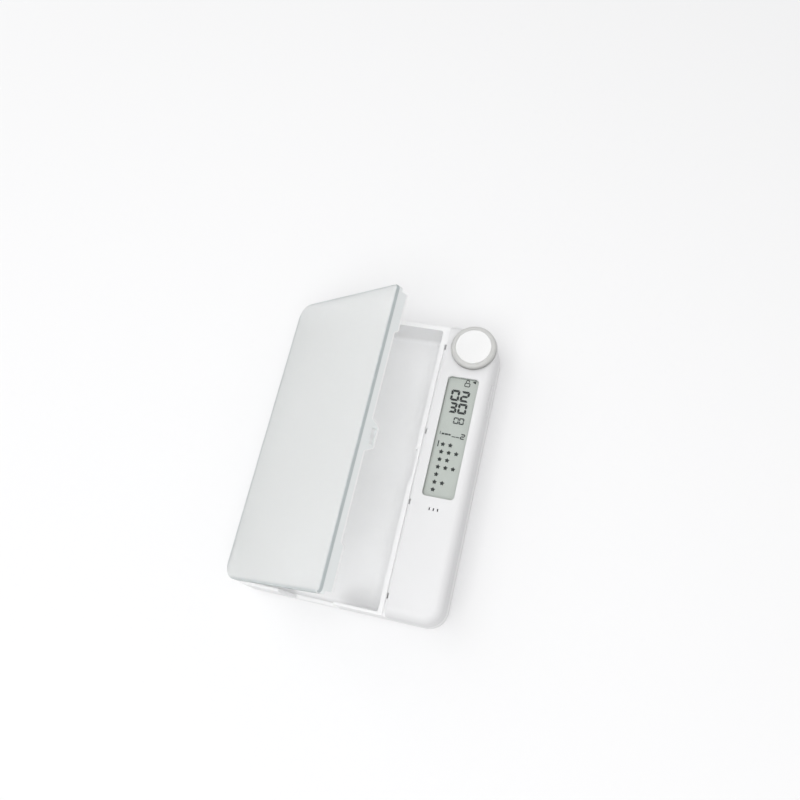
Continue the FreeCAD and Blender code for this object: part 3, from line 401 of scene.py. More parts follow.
@dataclass(frozen=True)
class FrostedLid(Grained):
    """Milky, see-through plastic, with painted shade on the rims and under the fold, where light travels
    inside the wall, and a whiter skirt with a painted highlight along its lower edge and another beside
    the fold.

    Attributes:
        rim: colour of the painted shade along the lid's rims.
        rim_share: how much of it shows.
        fold: colour of the painted shade band under the fold.
        skirt: colour of the skirt.
        hinge: the hinge axis (x, z).
        height: height of the closed lid's top above the hinge axis.
        opening: angle at which the lid rests, in degrees.
        span: distance from the hinge axis to the skirt's outer face.
        reach: distance from the middle to either end.
        outline: where the skirt ends.
        bands: where the other bands come in.
        see_through: share of the light that passes the broad face.
        skirt_through: share of the light that passes the skirt.
    """

    tint: Colour = (0.974, 0.985, 0.982)
    roughness: float = 0.50
    speckle: float = 0.08
    drift: float = 0.985
    cloud: float = 0.060
    grain: Noise = Noise(0.00030, roughness=0.6)
    depth: float = 0.00001
    relief: float = 0.4
    # Colours of painted shade along the rims and under the fold.
    rim: Colour = (0.60, 0.66, 0.665)
    rim_share: float = 0.6
    fold: Colour = (0.50, 0.545, 0.555)
    skirt: Colour = (0.90, 0.93, 0.93)
    hinge: Pair = (-0.0645, 0.0226)
    height: float = 0.0080
    opening: float = 35.5
    span: float = 0.0929
    reach: float = 0.0944
    outline: SkirtOutline = SkirtOutline()
    bands: LidBands = LidBands()
    see_through: float = 0.58
    skirt_through: float = 0.12

    def surface(self, g: Graph) -> Wire:
        """Two shaders, one for the broad face and one for the skirt.

        The point is turned about the hinge into the closed lid's own directions: along runs from the
        hinge to the skirt, and down from the top to the tray. Each band is an eased step in one of them,
        or a product of such steps.

        Args:
            g: the nodes.

        Returns:
            The shader.
        """
        x, y, z = g.axes()
        turn, bands = math.radians(self.opening), self.bands
        right, up = x - self.hinge[0], z - self.hinge[1]
        along = right * math.cos(turn) + up * math.sin(turn)
        down = self.height + right * math.sin(turn) - up * math.cos(turn)
        past = along - self.span
        # Mask of the painted shade along the lid's rims.
        rims = g.larger((g.size(y) - self.reach).ramp(*bands.end), 1 - along.ramp(*bands.side))
        free = past.ramp(*bands.free)
        # Mask of the painted highlight beside the fold.
        line = past.ramp(*bands.line) * (1 - free)
        skirt = free * down.ramp(*bands.skirt)
        # Mask of the painted shade band under the fold.
        fold = free * down.ramp(*bands.fold) * (1 - down.ramp(*bands.fold_end))
        # Mask of the painted highlight along the skirt's lower edge.
        lower = skirt * (down - self.outline.lower_edge(g, y)).ramp(*bands.lower)
        skin = self.skin(g)
        # Painted shade on the rims.
        colour = g.blend(rims * self.rim_share, skin["Base_Color"], self.rim)
        # The skirt's own colour, then the painted highlight beside the fold.
        colour = g.blend(line, g.blend(skirt, colour, self.skirt), WHITE)
        # Painted shade under the fold, then a painted highlight along the skirt's lower edge.
        skin["Base_Color"] = g.blend(lower, g.blend(fold, colour, self.fold), WHITE)
        broad, folded = (
            g.principled(**skin, Transmission_Weight=share, IOR=1.49)
            for share in (self.see_through, self.skirt_through)
        )
        return g.mix(skirt, broad, folded)


@dataclass(frozen=True, kw_only=True)
class SmokedPlastic(Grained):
    """Tinted plastic that lets a little light in, for the grip ring, with painted shade darkening it
    towards its foot.

    Attributes:
        foot_shade: colour of the painted shade at the foot.
        foot: height of the foot.
        rise: height over which the colour changes.
        see_through: share of the light that passes.
    """

    roughness: float = 0.33
    cloud: float = 0.010
    grain: Noise = Noise(0.00030, roughness=0.6)
    depth: float = 0.000008
    relief: float = 0.4
    foot_shade: Colour
    foot: float
    rise: float = 0.0036
    see_through: float = 0.25

    def surface(self, g: Graph) -> Wire:
        """The colour eases from the painted shade to the skin's over the rise above the foot.

        Args:
            g: the nodes.

        Returns:
            The shader.
        """
        _, _, z = g.axes()
        skin = self.skin(g)
        # Painted shade: the ring darkens towards its foot.
        upper = z.ramp(self.foot, self.foot + self.rise)
        skin["Base_Color"] = g.blend(upper, self.foot_shade, skin["Base_Color"])
        return g.principled(**skin, Transmission_Weight=self.see_through, IOR=1.46)


@dataclass(frozen=True)
class ClearLens(Finish):
    """Polished clear plastic: light passes straight through and the sky shows at a slant.

    Attributes:
        tint: its colour.
        roughness: how dull the polish is at its best.
        smear: noise of the duller patches.
        dulling: how much duller they are.
        shine: share of the mirrored light that is kept.
    """

    tint: Colour = (0.97, 0.985, 0.975)
    roughness: float = 0.03
    smear: Noise = Noise(0.012, 3.0, 0.6)
    dulling: float = 0.05
    shine: float = 0.5

    def surface(self, g: Graph) -> Wire:
        """A clear shader and a glossy one, mixed by a part of the Fresnel share.

        Args:
            g: the nodes.

        Returns:
            The shader.
        """
        dullness = self.roughness + self.dulling * g.noise(self.smear)
        clear = g.node("ShaderNodeBsdfTransparent", inputs={"Color": paint(self.tint)})
        gloss = g.node("ShaderNodeBsdfGlossy", inputs={"Color": paint(WHITE), "Roughness": dullness})
        return g.mix(g.node("ShaderNodeFresnel", inputs={"IOR": 1.45}) * self.shine, clear, gloss)


@dataclass(frozen=True, kw_only=True)
class DisplayGlass(Grained):
    """The grey-green ground of a reflective display, with painted shade along its edges.

    Attributes:
        rim: colour of the painted shade at the edge.
        low: lowest (x, y) of the ground.
        high: highest (x, y) of the ground.
        edge_shade: distances from the edge between which the painted shade fades out.
    """

    roughness: float = 0.39
    speckle: float = 0.1
    drift: float = 1.04
    cloud: float = 0.02
    grain: Noise = Noise(0.0003, 1.0)
    depth: float = 0.000004
    relief: float = 0.3
    rim: Colour
    low: Pair
    high: Pair
    edge_shade: Pair = (0.0002, 0.0011)

    def surface(self, g: Graph) -> Wire:
        """The painted shade follows the distance to the nearest of the four sides.

        Args:
            g: the nodes.

        Returns:
            The shader.
        """
        x, y, _ = g.axes()
        across = g.smaller(x - self.low[0], self.high[0] - x)
        inside = g.smaller(across, g.smaller(y - self.low[1], self.high[1] - y))
        skin = self.skin(g)
        # Painted shade along the ground's edges.
        skin["Base_Color"] = g.blend(1 - inside.ramp(*self.edge_shade), skin["Base_Color"], self.rim)
        return g.principled(**skin, Specular_IOR_Level=0.35)


@dataclass(frozen=True)
class DisplayInk(Finish):
    """Dark display segment, slightly uneven where the cell isn't fully driven.

    Attributes:
        tint: its darkest colour.
        drift: how much paler it gets, as a share of its colour.
        lift: how much paler it gets, whatever its colour.
        patch: noise of the paler patches.
    """

    tint: Colour
    drift: float = 0.25
    lift: float = 0.006
    patch: Noise = Noise(0.0016, ends=(0.35, 0.75))

    def surface(self, g: Graph) -> Wire:
        """One noise varies both the colour and the roughness.

        Args:
            g: the nodes.

        Returns:
            The shader.
        """
        patch = g.noise(self.patch)
        paler = tuple(c * (1 + self.drift) + self.lift for c in self.tint)
        return g.principled(
            Base_Color=g.blend(patch, self.tint, paler),
            Roughness=0.35 + 0.1 * patch,
            Specular_IOR_Level=0.3,
        )


@dataclass(frozen=True)
class WorkedMetal(Finish):
    """Drawn or machined metal with fine lines along one axis.

    Attributes:
        tint: its colour.
        roughness: how dull it is at its brightest.
        stretch: size of the line pattern along x, y and z.
        scratch: how much duller the lines are.
        depth: depth of the lines.
        tarnish: colour of the dull patches.
        tarnished: share of that colour that shows in them.
        patch: noise of the dull patches.
        dulling: how much duller they are.
    """

    tint: Colour
    roughness: float = 0.28
    stretch: Place = (0.0002, 0.006, 0.0002)
    scratch: float = 0.12
    depth: float = 0.00001
    tarnish: Colour = (0.32, 0.30, 0.28)
    tarnished: float = 0.5
    patch: Noise = Noise(0.004, 4.0, 0.7, (0.5, 0.8))
    dulling: float = 0.15

    def surface(self, g: Graph) -> Wire:
        """A noise that is stretched along one axis gives the lines, and a plain one the dull patches.

        Args:
            g: the nodes.

        Returns:
            The shader.
        """
        scale = tuple(1 / s for s in self.stretch)
        drawn = g.node("ShaderNodeMapping", inputs={"Vector": g.place(), "Scale": scale})
        lines = g.node("ShaderNodeTexNoise", inputs={"Vector": drawn, "Scale": 1.0, "Detail": 3.0})
        dull = g.noise(self.patch)
        return g.principled(
            Base_Color=g.blend(dull * self.tarnished, self.tint, self.tarnish),
            Metallic=1.0,
            Roughness=self.roughness + self.scratch * lines + self.dulling * dull,
            Normal=g.bump(lines, self.depth, 0.5),
        )


@dataclass(frozen=True)
class CircuitBoard(Finish):
    """Green solder mask with raised tracks and tinned pads.

    Attributes:
        mask: colour between the tracks.
        track: colour over the tracks.
        pad: colour of the tinned pads.
        pitch: distance between tracks.
        block: size of a field of nested tracks, in pitches.
        track_edge: distances between which a track rises, in pitches.
        pad_pitch: distance between pads.
        pad_edge: distances between which a pad ends, in pad pitches.
        height: height of tracks and pads.
    """

    mask: Colour = (0.02, 0.15, 0.07)
    track: Colour = (0.04, 0.26, 0.12)
    pad: Colour = (0.62, 0.60, 0.54)
    pitch: float = 0.0016
    block: float = 4.0
    track_edge: Pair = (0.18, 0.26)
    pad_pitch: float = 0.0042
    pad_edge: Pair = (0.10, 0.13)
    height: float = 0.00003

    def surface(self, g: Graph) -> Wire:
        """The tracks are the distance to the nearest of scattered points, folded to and fro by the pitch,
        and a pad is a disc about each of a second set of points.

        Args:
            g: the nodes.

        Returns:
            The shader.
        """
        field = self.block * self.pitch
        nearest = g.cells(field, 0.6, "MANHATTAN") * field
        rising = (self.pitch * edge for edge in self.track_edge)
        track = g.maths("PINGPONG", nearest, self.pitch / 2).ramp(*rising)
        pad = 1 - g.cells(self.pad_pitch, 0.3).ramp(*self.pad_edge)
        return g.principled(
            Base_Color=g.blend(pad, g.blend(track, self.mask, self.track), self.pad),
            Roughness=0.38 - 0.12 * pad,
            Metallic=pad * 0.9,
            Normal=g.bump(track + pad, self.height, 0.6),
        )


@dataclass(frozen=True)
class CellWrap(Finish):
    """Printed shrink wrap of a dry cell: a coloured band at the positive end, a plain dark body.

    Attributes:
        body: colour of the body.
        band: colour of the band.
        band_from: y where the band starts.
        blur: half the width over which it starts.
        seam: colour of the thin line beside the band.
        seam_gap: distance from the band to that line.
        seam_edge: distances from its middle between which the line ends.
        shrink: noise of the wrinkles.
        depth: depth of the wrinkles.
    """

    body: Colour
    band: Colour
    band_from: float
    blur: float = 0.0001
    seam: Colour = (0.45, 0.45, 0.46)
    seam_gap: float = 0.001
    seam_edge: Pair = (0.0002, 0.0004)
    shrink: Noise = Noise(0.003, 3.0, 0.6)
    depth: float = 0.00005

    def surface(self, g: Graph) -> Wire:
        """The band is a step in y, and the line a narrow peak beside it.

        Args:
            g: the nodes.

        Returns:
            The shader.
        """
        _, y, _ = g.axes()
        band = y.ramp(self.band_from - self.blur, self.band_from + self.blur)
        line = 1 - g.size(y - (self.band_from - self.seam_gap)).ramp(*self.seam_edge)
        shrink = g.noise(self.shrink)
        return g.principled(
            Base_Color=g.blend(line, g.blend(band, self.body, self.band), self.seam),
            Roughness=0.22 + 0.15 * shrink,
            Metallic=band * 0.4,
            Normal=g.bump(shrink, self.depth, 0.4),
        )


@dataclass(frozen=True)
class SoftRubber(Finish):
    """Matt grey rubber with dust in its pores.

    Attributes:
        tint: its colour.
        dust: colour of the dust.
        covered: share of that colour that shows in the dusty patches.
        patch: noise of the dusty patches.
        pores: noise of the pores.
        depth: depth of the pores.
    """

    tint: Colour
    dust: Colour = (0.45, 0.44, 0.42)
    covered: float = 0.25
    patch: Noise = Noise(0.003, 3.0, ends=(0.5, 0.8))
    pores: Noise = Noise(0.0004, 3.0, 0.7)
    depth: float = 0.00003

    def surface(self, g: Graph) -> Wire:
        """A fine noise gives the pores and a broad one the dust.

        Args:
            g: the nodes.

        Returns:
            The shader.
        """
        pores = g.noise(self.pores)
        return g.principled(
            Base_Color=g.blend(g.noise(self.patch) * self.covered, self.tint, self.dust),
            Roughness=0.75 + 0.15 * pores,
            Normal=g.bump(pores, self.depth, 0.6),
            Specular_IOR_Level=0.3,
        )


@dataclass(frozen=True)
class StudioFloor(Finish):
    """Plain pale floor, which throws back a little less light than it shows and runs out into white.

    Attributes:
        tint: colour that it shows.
        bounce: colour of the light that it throws on the object.
        drift: share of either colour that is left in the darkest patches.
        cloud: noise of those patches.
        white: distances from the middle between which it turns white.
    """

    tint: Colour
    bounce: Colour
    drift: float = 0.995
    cloud: Noise = Noise(0.4)
    white: Pair = (0.4, 1.1)

    def surface(self, g: Graph) -> Wire:
        """Background rays see the shown floor, eased into white light by the distance from the middle,
        and the others see the thrown one.

        Args:
            g: the nodes.

        Returns:
            The shader.
        """
        x, y, _ = g.axes()
        cloud = g.noise(self.cloud)
        shown, thrown = (
            g.principled(
                Base_Color=g.blend(cloud, tint, shade(tint, self.drift)),
                Roughness=0.9,
                Specular_IOR_Level=0.0,
            )
            for tint in (self.tint, self.bounce)
        )
        white = g.node("ShaderNodeEmission", inputs={"Color": paint(WHITE)})
        distant = ((x * x + y * y) ** 0.5).ramp(*self.white)
        return g.mix(g.background_rays(), thrown, g.mix(distant, shown, white))


# --- Meshes ---
def mesh_object(name: str, points: Points, faces: list[list[int]]) -> bpy.types.Object:
    """Puts points and faces into a new object at the origin.

    Args:
        name: the object's name.
        points: n by 3 array.
        faces: corner numbers of each face, turned outwards.

    Returns:
        The object, linked to the scene.
    """
    mesh = bpy.data.meshes.new(name)
    mesh.from_pydata(points.tolist(), [], faces)
    mesh.update()
    made = bpy.data.objects.new(name, mesh)
    bpy.context.scene.collection.objects.link(made)
    return made


def fan_prisms(outlines: Points, bottom: float, top: float) -> tuple[Points, Points, Points]:
    """Closed flat-topped prisms over many outlines at once.

    Each outline turns anticlockwise and can be seen whole from its centre, so the top and the bottom are
    fans of triangles round the mean of the corners, and the side is one quad for each stretch of outline.

    Args:
        outlines: prisms by corners by 2.
        bottom: height of the underside.
        top: height of the upper side.

    Returns:
        Points, triangles and quads.
    """
    count, corners, _ = outlines.shape
    ring = np.concatenate([outlines, outlines.mean(axis=1, keepdims=True)], axis=1)
    levels = [np.insert(ring, 2, height, axis=2) for height in (bottom, top)]
    points = np.concatenate(levels, axis=1).reshape(-1, 3)
    start = (np.arange(count) * 2 * (corners + 1))[:, None]
    here = np.arange(corners)[None, :]
    after = (here + 1) % corners
    middle = start + corners + 0 * here
    up = corners + 1
    lower = np.stack([start + after, start + here, middle], axis=-1)
    upper = np.stack([start + up + here, start + up + after, up + middle], axis=-1)
    sides = np.stack([start + here, start + after, start + up + after, start + up + here], axis=-1)
    triangles = np.concatenate([lower, upper], axis=1).reshape(-1, 3)
    return points, triangles, sides.reshape(-1, 4)


def prism_object(name: str, groups: Sequence[Points], bottom: float, top: float) -> bpy.types.Object:
    """One object of all the prisms over several groups of outlines.

    Args:
        name: the object's name.
        groups: arrays of outlines, each as fan_prisms takes it.
        bottom: height of the underside.
        top: height of the upper side.

    Returns:
        The object, linked to the scene.
    """
    points, faces, first = [], [], 0
    for outlines in groups:
        made, triangles, quads = fan_prisms(outlines, bottom, top)
        points.append(made)
        faces += (triangles + first).tolist() + (quads + first).tolist()
        first += len(made)
    return mesh_object(name, np.concatenate(points), faces)


def bars(starts: Points, ends: Points, drawn_in: Points, width: float, gap: float) -> Points:
    """Outlines of bars that end in a point or in a mitre.

    Each bar runs from start to end, with its tips a gap inside them. The corners on its right side lie
    half a width in from the tips, and those on its left side drawn_in times half a width.

    Args:
        starts: n by 2 points.
        ends: n by 2 points.
        drawn_in: n by 2 shares for start and end: 1 is a point and -1 a full mitre.
        width: the bars' width.
        gap: distance from start and end to the tips.

    Returns:
        Bars by 6 by 2.
    """
    along = ends - starts
    along = along / np.linalg.norm(along, axis=1, keepdims=True)
    starts, ends = starts + gap * along, ends - gap * along
    side = np.stack([-along[:, 1], along[:, 0]], axis=1)
    half = width / 2
    corners = [
        starts,
        starts + half * (along - side),
        ends - half * (along + side),
        ends,
        ends - half * (drawn_in[:, 1:] * along - side),
        starts + half * (drawn_in[:, :1] * along + side),
    ]
    return np.stack(corners, axis=1)


def plates(boxes: Sequence[Sequence[float]]) -> Points:
    """Outlines of upright rectangles.

    Args:
        boxes: left, near, right and far side of each.

    Returns:
        Plates by 4 by 2.
    """
    x0, y0, x1, y1 = np.array(boxes).T
    return np.stack([x0, y0, x1, y0, x1, y1, x0, y1], axis=1).reshape(-1, 4, 2)


def stars(centres: Points, radius: float, waist: float, tips: int) -> Points:
    """Outlines of stars: the distance from the centre is radius at each tip and waist between the tips.

    Args:
        centres: n by 2 points.
        radius: distance to the tips.
        waist: distance to the corners between them.
        tips: number of tips.

    Returns:
        Stars by corners by 2.
    """
    corner = np.arange(2 * tips)
    turn = corner * math.pi / tips + math.pi / 2
    reach = np.where(corner % 2 == 0, radius, waist)
    shape = np.stack([reach * np.cos(turn), reach * np.sin(turn)], axis=1)
    return centres[:, None, :] + shape[None, :, :]


def ribbon_quads(path: Points, width: float, closed: bool) -> Points:
    """Outlines that follow a path: one quad for each stretch, with mitred sides half a width away.

    Args:
        path: n by 2 points, anticlockwise when closed.
        width: the ribbon's width.
        closed: whether the last point joins the first.

    Returns:
        Quads by 4 by 2.
    """
    before, after = np.roll(path, 1, axis=0), np.roll(path, -1, axis=0)
    if not closed:
        before[0] = 2 * path[0] - path[1]
        after[-1] = 2 * path[-1] - path[-2]
    along = after - before
    along /= np.linalg.norm(along, axis=1, keepdims=True)
    side = np.stack([along[:, 1], -along[:, 0]], axis=1) * width / 2
    outer, inner = path + side, path - side
    here = np.arange(len(path) if closed else len(path) - 1)
    then = (here + 1) % len(path)
    return np.stack([outer[here], outer[then], inner[then], inner[here]], axis=1)


def rounded_loop(low: Pair, high: Pair, radius: float, steps: int = 6) -> Points:
    """Anticlockwise rounded rectangle: a quarter circle about each corner's centre.

    Args:
        low: lowest x and y.
        high: highest x and y.
        radius: radius of the corners.
        steps: points on each corner.

    Returns:
        n by 2 points.
    """
    x0, y0, x1, y1 = low[0] + radius, low[1] + radius, high[0] - radius, high[1] - radius
    centres = np.array([(x1, y1), (x0, y1), (x0, y0), (x1, y0)])
    turn = np.linspace(0, math.pi / 2, steps)[None, :] + (np.arange(4) * math.pi / 2)[:, None]
    arcs = centres[:, None, :] + radius * np.stack([np.cos(turn), np.sin(turn)], axis=-1)
    return arcs.reshape(-1, 2)


def arc(centre: Pair, radius: float, start: float, end: float, steps: int = 12) -> Points:
    """Points of a circle's arc from one angle to another, in degrees."""
    turn = np.radians(np.linspace(start, end, steps))
    return np.array(centre) + radius * np.stack([np.cos(turn), np.sin(turn)], axis=1)


# --- Sub-assemblies ---
def dress(material: bpy.types.Material, *nodes: str) -> None:
    """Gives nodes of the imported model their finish.

    Args:
        material: the finish.
        nodes: names of the nodes.
    """
    for node in nodes:
        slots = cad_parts[node].data.materials
        slots.clear()
        slots.append(material)
        log.info("dressed %s with %s", node, material.name)


@dataclass
class Housing:
    """The white shells, the battery door, the feet and the screws."""

    # The shell's white is paler than the cover's, as painted light that brightens the tray under the lid.
    shell: Finish = MouldedPlastic((0.93, 0.93, 0.935), roughness=0.42, drift=0.98)
    cover: Finish = MouldedPlastic((0.80, 0.80, 0.808), roughness=0.40, drift=0.98)
    door: Finish = MouldedPlastic((0.80, 0.80, 0.805), roughness=0.44)
    rubber: Finish = SoftRubber((0.16, 0.16, 0.165))
    screw: Finish = WorkedMetal((0.50, 0.50, 0.51), roughness=0.32)

    def build(self) -> None:
        """Dresses every piece of the housing."""
        dress(self.shell.make("shell_white"), "base_shell")
        dress(self.cover.make("cover_white"), "module_cover")
        dress(self.door.make("moulded_white_door"), "battery_door")
        dress(self.rubber.make("grey_rubber"), "rubber_feet")
        dress(self.screw.make("screw_steel"), "case_screws", "board_screws")


@dataclass
class Lid:
    """The frosted lid and its hinge pins."""

    frosted: Finish = FrostedLid()
    pin: Finish = WorkedMetal((0.60, 0.60, 0.61), roughness=0.22)

    def build(self) -> None:
        """Dresses the lid and its pins."""
        dress(self.frosted.make("frosted_plastic"), "lid_cover")
        dress(self.pin.make("pin_steel"), "hinge_pin_near", "hinge_pin_far")


@dataclass
class Dial:
    """The press-and-turn dial, the encoder under it and its light."""

    # The darker colour here is painted shade at the ring's foot.
    ring: Finish = SmokedPlastic(tint=(0.78, 0.78, 0.765), foot_shade=(0.30, 0.30, 0.288), foot=0.0314)
    cap: Finish = MouldedPlastic((0.885, 0.885, 0.885), roughness=0.35)
    body: Finish = MouldedPlastic((0.03, 0.03, 0.032), roughness=0.45)
    shaft: Finish = WorkedMetal((0.55, 0.55, 0.56))
    light: Finish = ClearLens((0.9, 0.97, 0.9), 0.1)

    def build(self) -> None:
        """Dresses every piece of the dial."""
        dress(self.ring.make("smoked_ring"), "dial_ring")
        dress(self.cap.make("dial_cap_white"), "dial_cap")
        dress(self.body.make("encoder_black"), "encoder_body")
        dress(self.shaft.make("shaft_steel"), "dial_shaft")
        dress(self.body.make("plunger_black"), "press_plunger")
        dress(self.light.make("led_resin"), "indicator_led")


class Figure(Enum):
    """The bars that are dark in each figure: top, upper right, lower right, bottom, lower left, upper
    left, middle."""

    ZERO = (1, 1, 1, 1, 1, 1, 0)
    TWO = (1, 1, 0, 1, 1, 0, 1)
    THREE = (1, 1, 1, 1, 0, 0, 1)


@dataclass(frozen=True)
class FigurePlace:
    """A figure of the display and the box that it fills. Sizes in millimetres.

    Attributes:
        figure: which figure it is.
        box: left, near, right and far side of the box.
        width: width of a bar.
        gap: how far each bar is drawn in at either end.
        mitre: how far a bar's outer corners are drawn in, as a share of half its width; below 0 is out.
    """

    figure: Figure
    box: Sequence[float]
    width: float
    gap: float = 0.08
    mitre: float = -0.45

    def outlines(self) -> Points:
        """Outlines of the dark bars.

        The bars run clockwise between the corners and the middles of a frame half a bar's width inside
        the box, with their left side outwards. They are mitred at the corners and pointed at the middles.

        Returns:
            Bars by 6 by 2, in metres.
        """
        x0, y0, x1, y2 = np.array(self.box) + self.width / 2 * np.array([1, 1, -1, -1])
        y1 = (y0 + y2) / 2
        corner, middle = self.mitre, 1.0
        table = np.array(
            [
                ((x0, y2), (x1, y2), (corner, corner)),
                ((x1, y2), (x1, y1), (corner, middle)),
                ((x1, y1), (x1, y0), (middle, corner)),
                ((x1, y0), (x0, y0), (corner, corner)),
                ((x0, y0), (x0, y1), (corner, middle)),
                ((x0, y1), (x0, y2), (middle, corner)),
                ((x0, y1), (x1, y1), (middle, middle)),
            ]
        )
        starts, ends, drawn_in = table[np.array(self.figure.value, bool)].transpose(1, 0, 2)
        return bars(starts, ends, drawn_in, self.width, self.gap) * MM


@dataclass(frozen=True)
class Padlock:
    """A small open padlock, drawn in lines. Sizes in millimetres.

    The body's line runs between low and high, with rounded corners. The bow's arc is centred on bow, its
    left leg ends at the y of leg and its right one at that of open_leg.
    """

    low: Pair = (50.9, 55.3)
    high: Pair = (54.1, 57.6)
    corner: float = 0.6
    line: float = 0.58
    bow: Pair = (52.5, 58.7)
    bow_radius: float = 1.0
    bow_line: float = 0.5
    leg: float = 57.7
    open_leg: float = 58.4

    def outlines(self) -> list[Points]:
        """Lines along a rounded rectangle, and along half a circle that stands on two straight legs.

        Returns:
            The body's quads and the bow's quads, in metres.
        """
        body = ribbon_quads(rounded_loop(self.low, self.high, self.corner), self.line, True)
        left, right = self.bow[0] - self.bow_radius, self.bow[0] + self.bow_radius
        half_circle = arc(self.bow, self.bow_radius, 180, 0)
        path = np.concatenate([[(left, self.leg)], half_circle, [(right, self.open_leg)]])
        return [body * MM, ribbon_quads(path[::-1], self.bow_line, False) * MM]


@dataclass
class Display:
    """The display's ground, its dark marks and the boards behind it. Sizes in millimetres.

    Attributes:
        sheet: heights of the marks' underside and upper side.
        figures: the time's and the chart's figures.
        small_figures: the seconds.
        star_columns: x of the chart's columns.
        star_rows: y of each of the chart's rows and the number of its stars.
        star_radius: distance from a star's middle to its tips.
        star_waist: share of it that is left between the tips.
        arrow: corners of the small arrow head.
        stroke: sides of the chart's upright stroke.
        labels: sides of the plain bars where a clock has its small captions.
        edge_shade: colour of the painted shade along the ground's edges.
    """

    sheet: Pair = (27.51, 27.56)
    figures: Sequence[FigurePlace] = (
        FigurePlace(Figure.ZERO, (43.4, 44.5, 49.1, 52.0), 1.5),
        FigurePlace(Figure.TWO, (49.7, 44.5, 55.5, 52.0), 1.5),
        FigurePlace(Figure.THREE, (44.0, 36.3, 49.1, 43.5), 1.5),
        FigurePlace(Figure.ZERO, (49.7, 36.3, 55.5, 43.5), 1.5),
        FigurePlace(Figure.TWO, (55.1, 19.9, 58.1, 23.6), 0.75),
    )
    small_figures: Sequence[FigurePlace] = (
        FigurePlace(Figure.ZERO, (48.6, 29.4, 52.0, 33.8), 0.8),
        FigurePlace(Figure.ZERO, (52.2, 29.4, 55.5, 33.8), 0.8),
    )
    star_columns: Sequence[float] = (45.4, 50.2, 55.0)
    star_rows: Sequence[tuple[float, int]] = (
        (14.9, 2), (9.95, 3), (4.95, 2), (0.0, 3), (-4.9, 1), (-9.9, 2), (-14.8, 1)
    )
    star_radius: float = 1.6
    star_waist: float = 0.6
    star_tips: int = 5
    padlock: Padlock = Padlock()
    arrow: Sequence[Pair] = ((55.5, 58.85), (57.7, 57.75), (57.7, 59.95))
    stroke: Sequence[float] = (42.05, 13.0, 42.75, 17.0)
    labels: Sequence[Sequence[float]] = (
        (41.9, 21.3, 42.3, 23.2),
        (43.1, 21.2, 44.9, 22.3),
        (45.2, 21.2, 47.2, 22.3),
        (47.5, 21.2, 48.9, 22.3),
        (49.8, 20.5, 52.2, 21.1),
        (52.5, 20.5, 54.6, 21.1),
    )
    ground: Colour = (0.600, 0.604, 0.592)
    # Colour of the painted shade along the display ground's edges.
    edge_shade: Colour = (0.30, 0.32, 0.30)
    lens: Finish = ClearLens()
    ink: Finish = DisplayInk((0.006, 0.008, 0.009))
    pale_ink: Finish = DisplayInk((0.020, 0.025, 0.027))
    diffuser: Finish = MouldedPlastic((0.75, 0.76, 0.75), roughness=0.3)
    dark: Finish = MouldedPlastic((0.05, 0.05, 0.052), roughness=0.5)
    board: Finish = CircuitBoard()

    def build(self) -> None:
        """Dresses the display's nodes and lays the marks on its ground."""
        low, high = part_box("lcd_panel")
        glass = DisplayGlass(tint=self.ground, rim=self.edge_shade, low=tuple(low[:2]), high=tuple(high[:2]))
        dress(glass.make("display_ground"), "lcd_panel")
        dress(self.lens.make("clear_lens"), "display_window")
        dress(self.diffuser.make("diffuser"), "lcd_backlight")
        dress(self.dark.make("display_frame"), "lcd_frame")
        dress(self.dark.make("chip_resin"), "control_chip")
        dress(self.board.make("circuit_board"), "main_board", "dial_board")
        dark, pale = self.ink.make("display_ink"), self.pale_ink.make("display_ink_pale")
        self.lay("display_figures", [figure.outlines() for figure in self.figures], dark)
        self.lay("display_small_figures", [figure.outlines() for figure in self.small_figures], pale)
        self.lay("display_stars", [self.star_outlines()], dark)
        symbols = [*self.padlock.outlines(), np.array([self.arrow]) * MM, plates([self.stroke]) * MM]
        self.lay("display_symbols", symbols, dark)
        self.lay("display_labels", [plates(self.labels) * MM], pale)

    def lay(self, name: str, groups: Sequence[Points], ink: bpy.types.Material) -> None:
        """Lays flat marks on the ground, as one object that the case carries.

        Args:
            name: the object's name.
            groups: outlines of the marks, in metres.
            ink: their finish.
        """
        made = prism_object(name, groups, *(height * MM for height in self.sheet))
        made.data.materials.append(ink)
        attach(made, "case")
        log.info("made %s, %d faces", name, len(made.data.polygons))

    def star_outlines(self) -> Points:
        """One small star at each filled place of the chart."""
        centres = np.array([(x, y) for y, count in self.star_rows for x in self.star_columns[:count]])
        return stars(centres, self.star_radius, self.star_waist * self.star_radius, self.star_tips) * MM


@dataclass
class Controls:
    """The sounder, the side button and the reset button."""

    black: Finish = MouldedPlastic((0.035, 0.035, 0.036), roughness=0.4)
    button: Finish = MouldedPlastic((0.81, 0.81, 0.815), roughness=0.36)
    plunger: Finish = MouldedPlastic((0.62, 0.62, 0.63), roughness=0.4)

    def build(self) -> None:
        """Dresses the sounder, the buttons and their switches."""
        dress(self.button.make("side_button_white"), "side_button")
        dress(self.black.make("switch_black"), "buzzer", "side_switch", "reset_switch")
        dress(self.plunger.make("reset_grey"), "reset_plunger")


@dataclass
class Latch:
    """The bolt and its drive."""

    grey: Finish = MouldedPlastic((0.42, 0.43, 0.44), roughness=0.38)
    bolt: Finish = MouldedPlastic((0.62, 0.62, 0.63), roughness=0.35)
    brass: Finish = WorkedMetal((0.72, 0.52, 0.24), roughness=0.24)
    can: Finish = WorkedMetal((0.56, 0.56, 0.57), roughness=0.26)

    def build(self) -> None:
        """Dresses the bolt and its drive."""
        dress(self.grey.make("latch_moulding"), "latch_guide", "latch_gearbox")
        dress(self.bolt.make("bolt_moulding"), "latch_bolt")
        dress(self.brass.make("pinion_brass"), "latch_pinion")
        dress(self.can.make("motor_can"), "latch_motor", "latch_shaft")


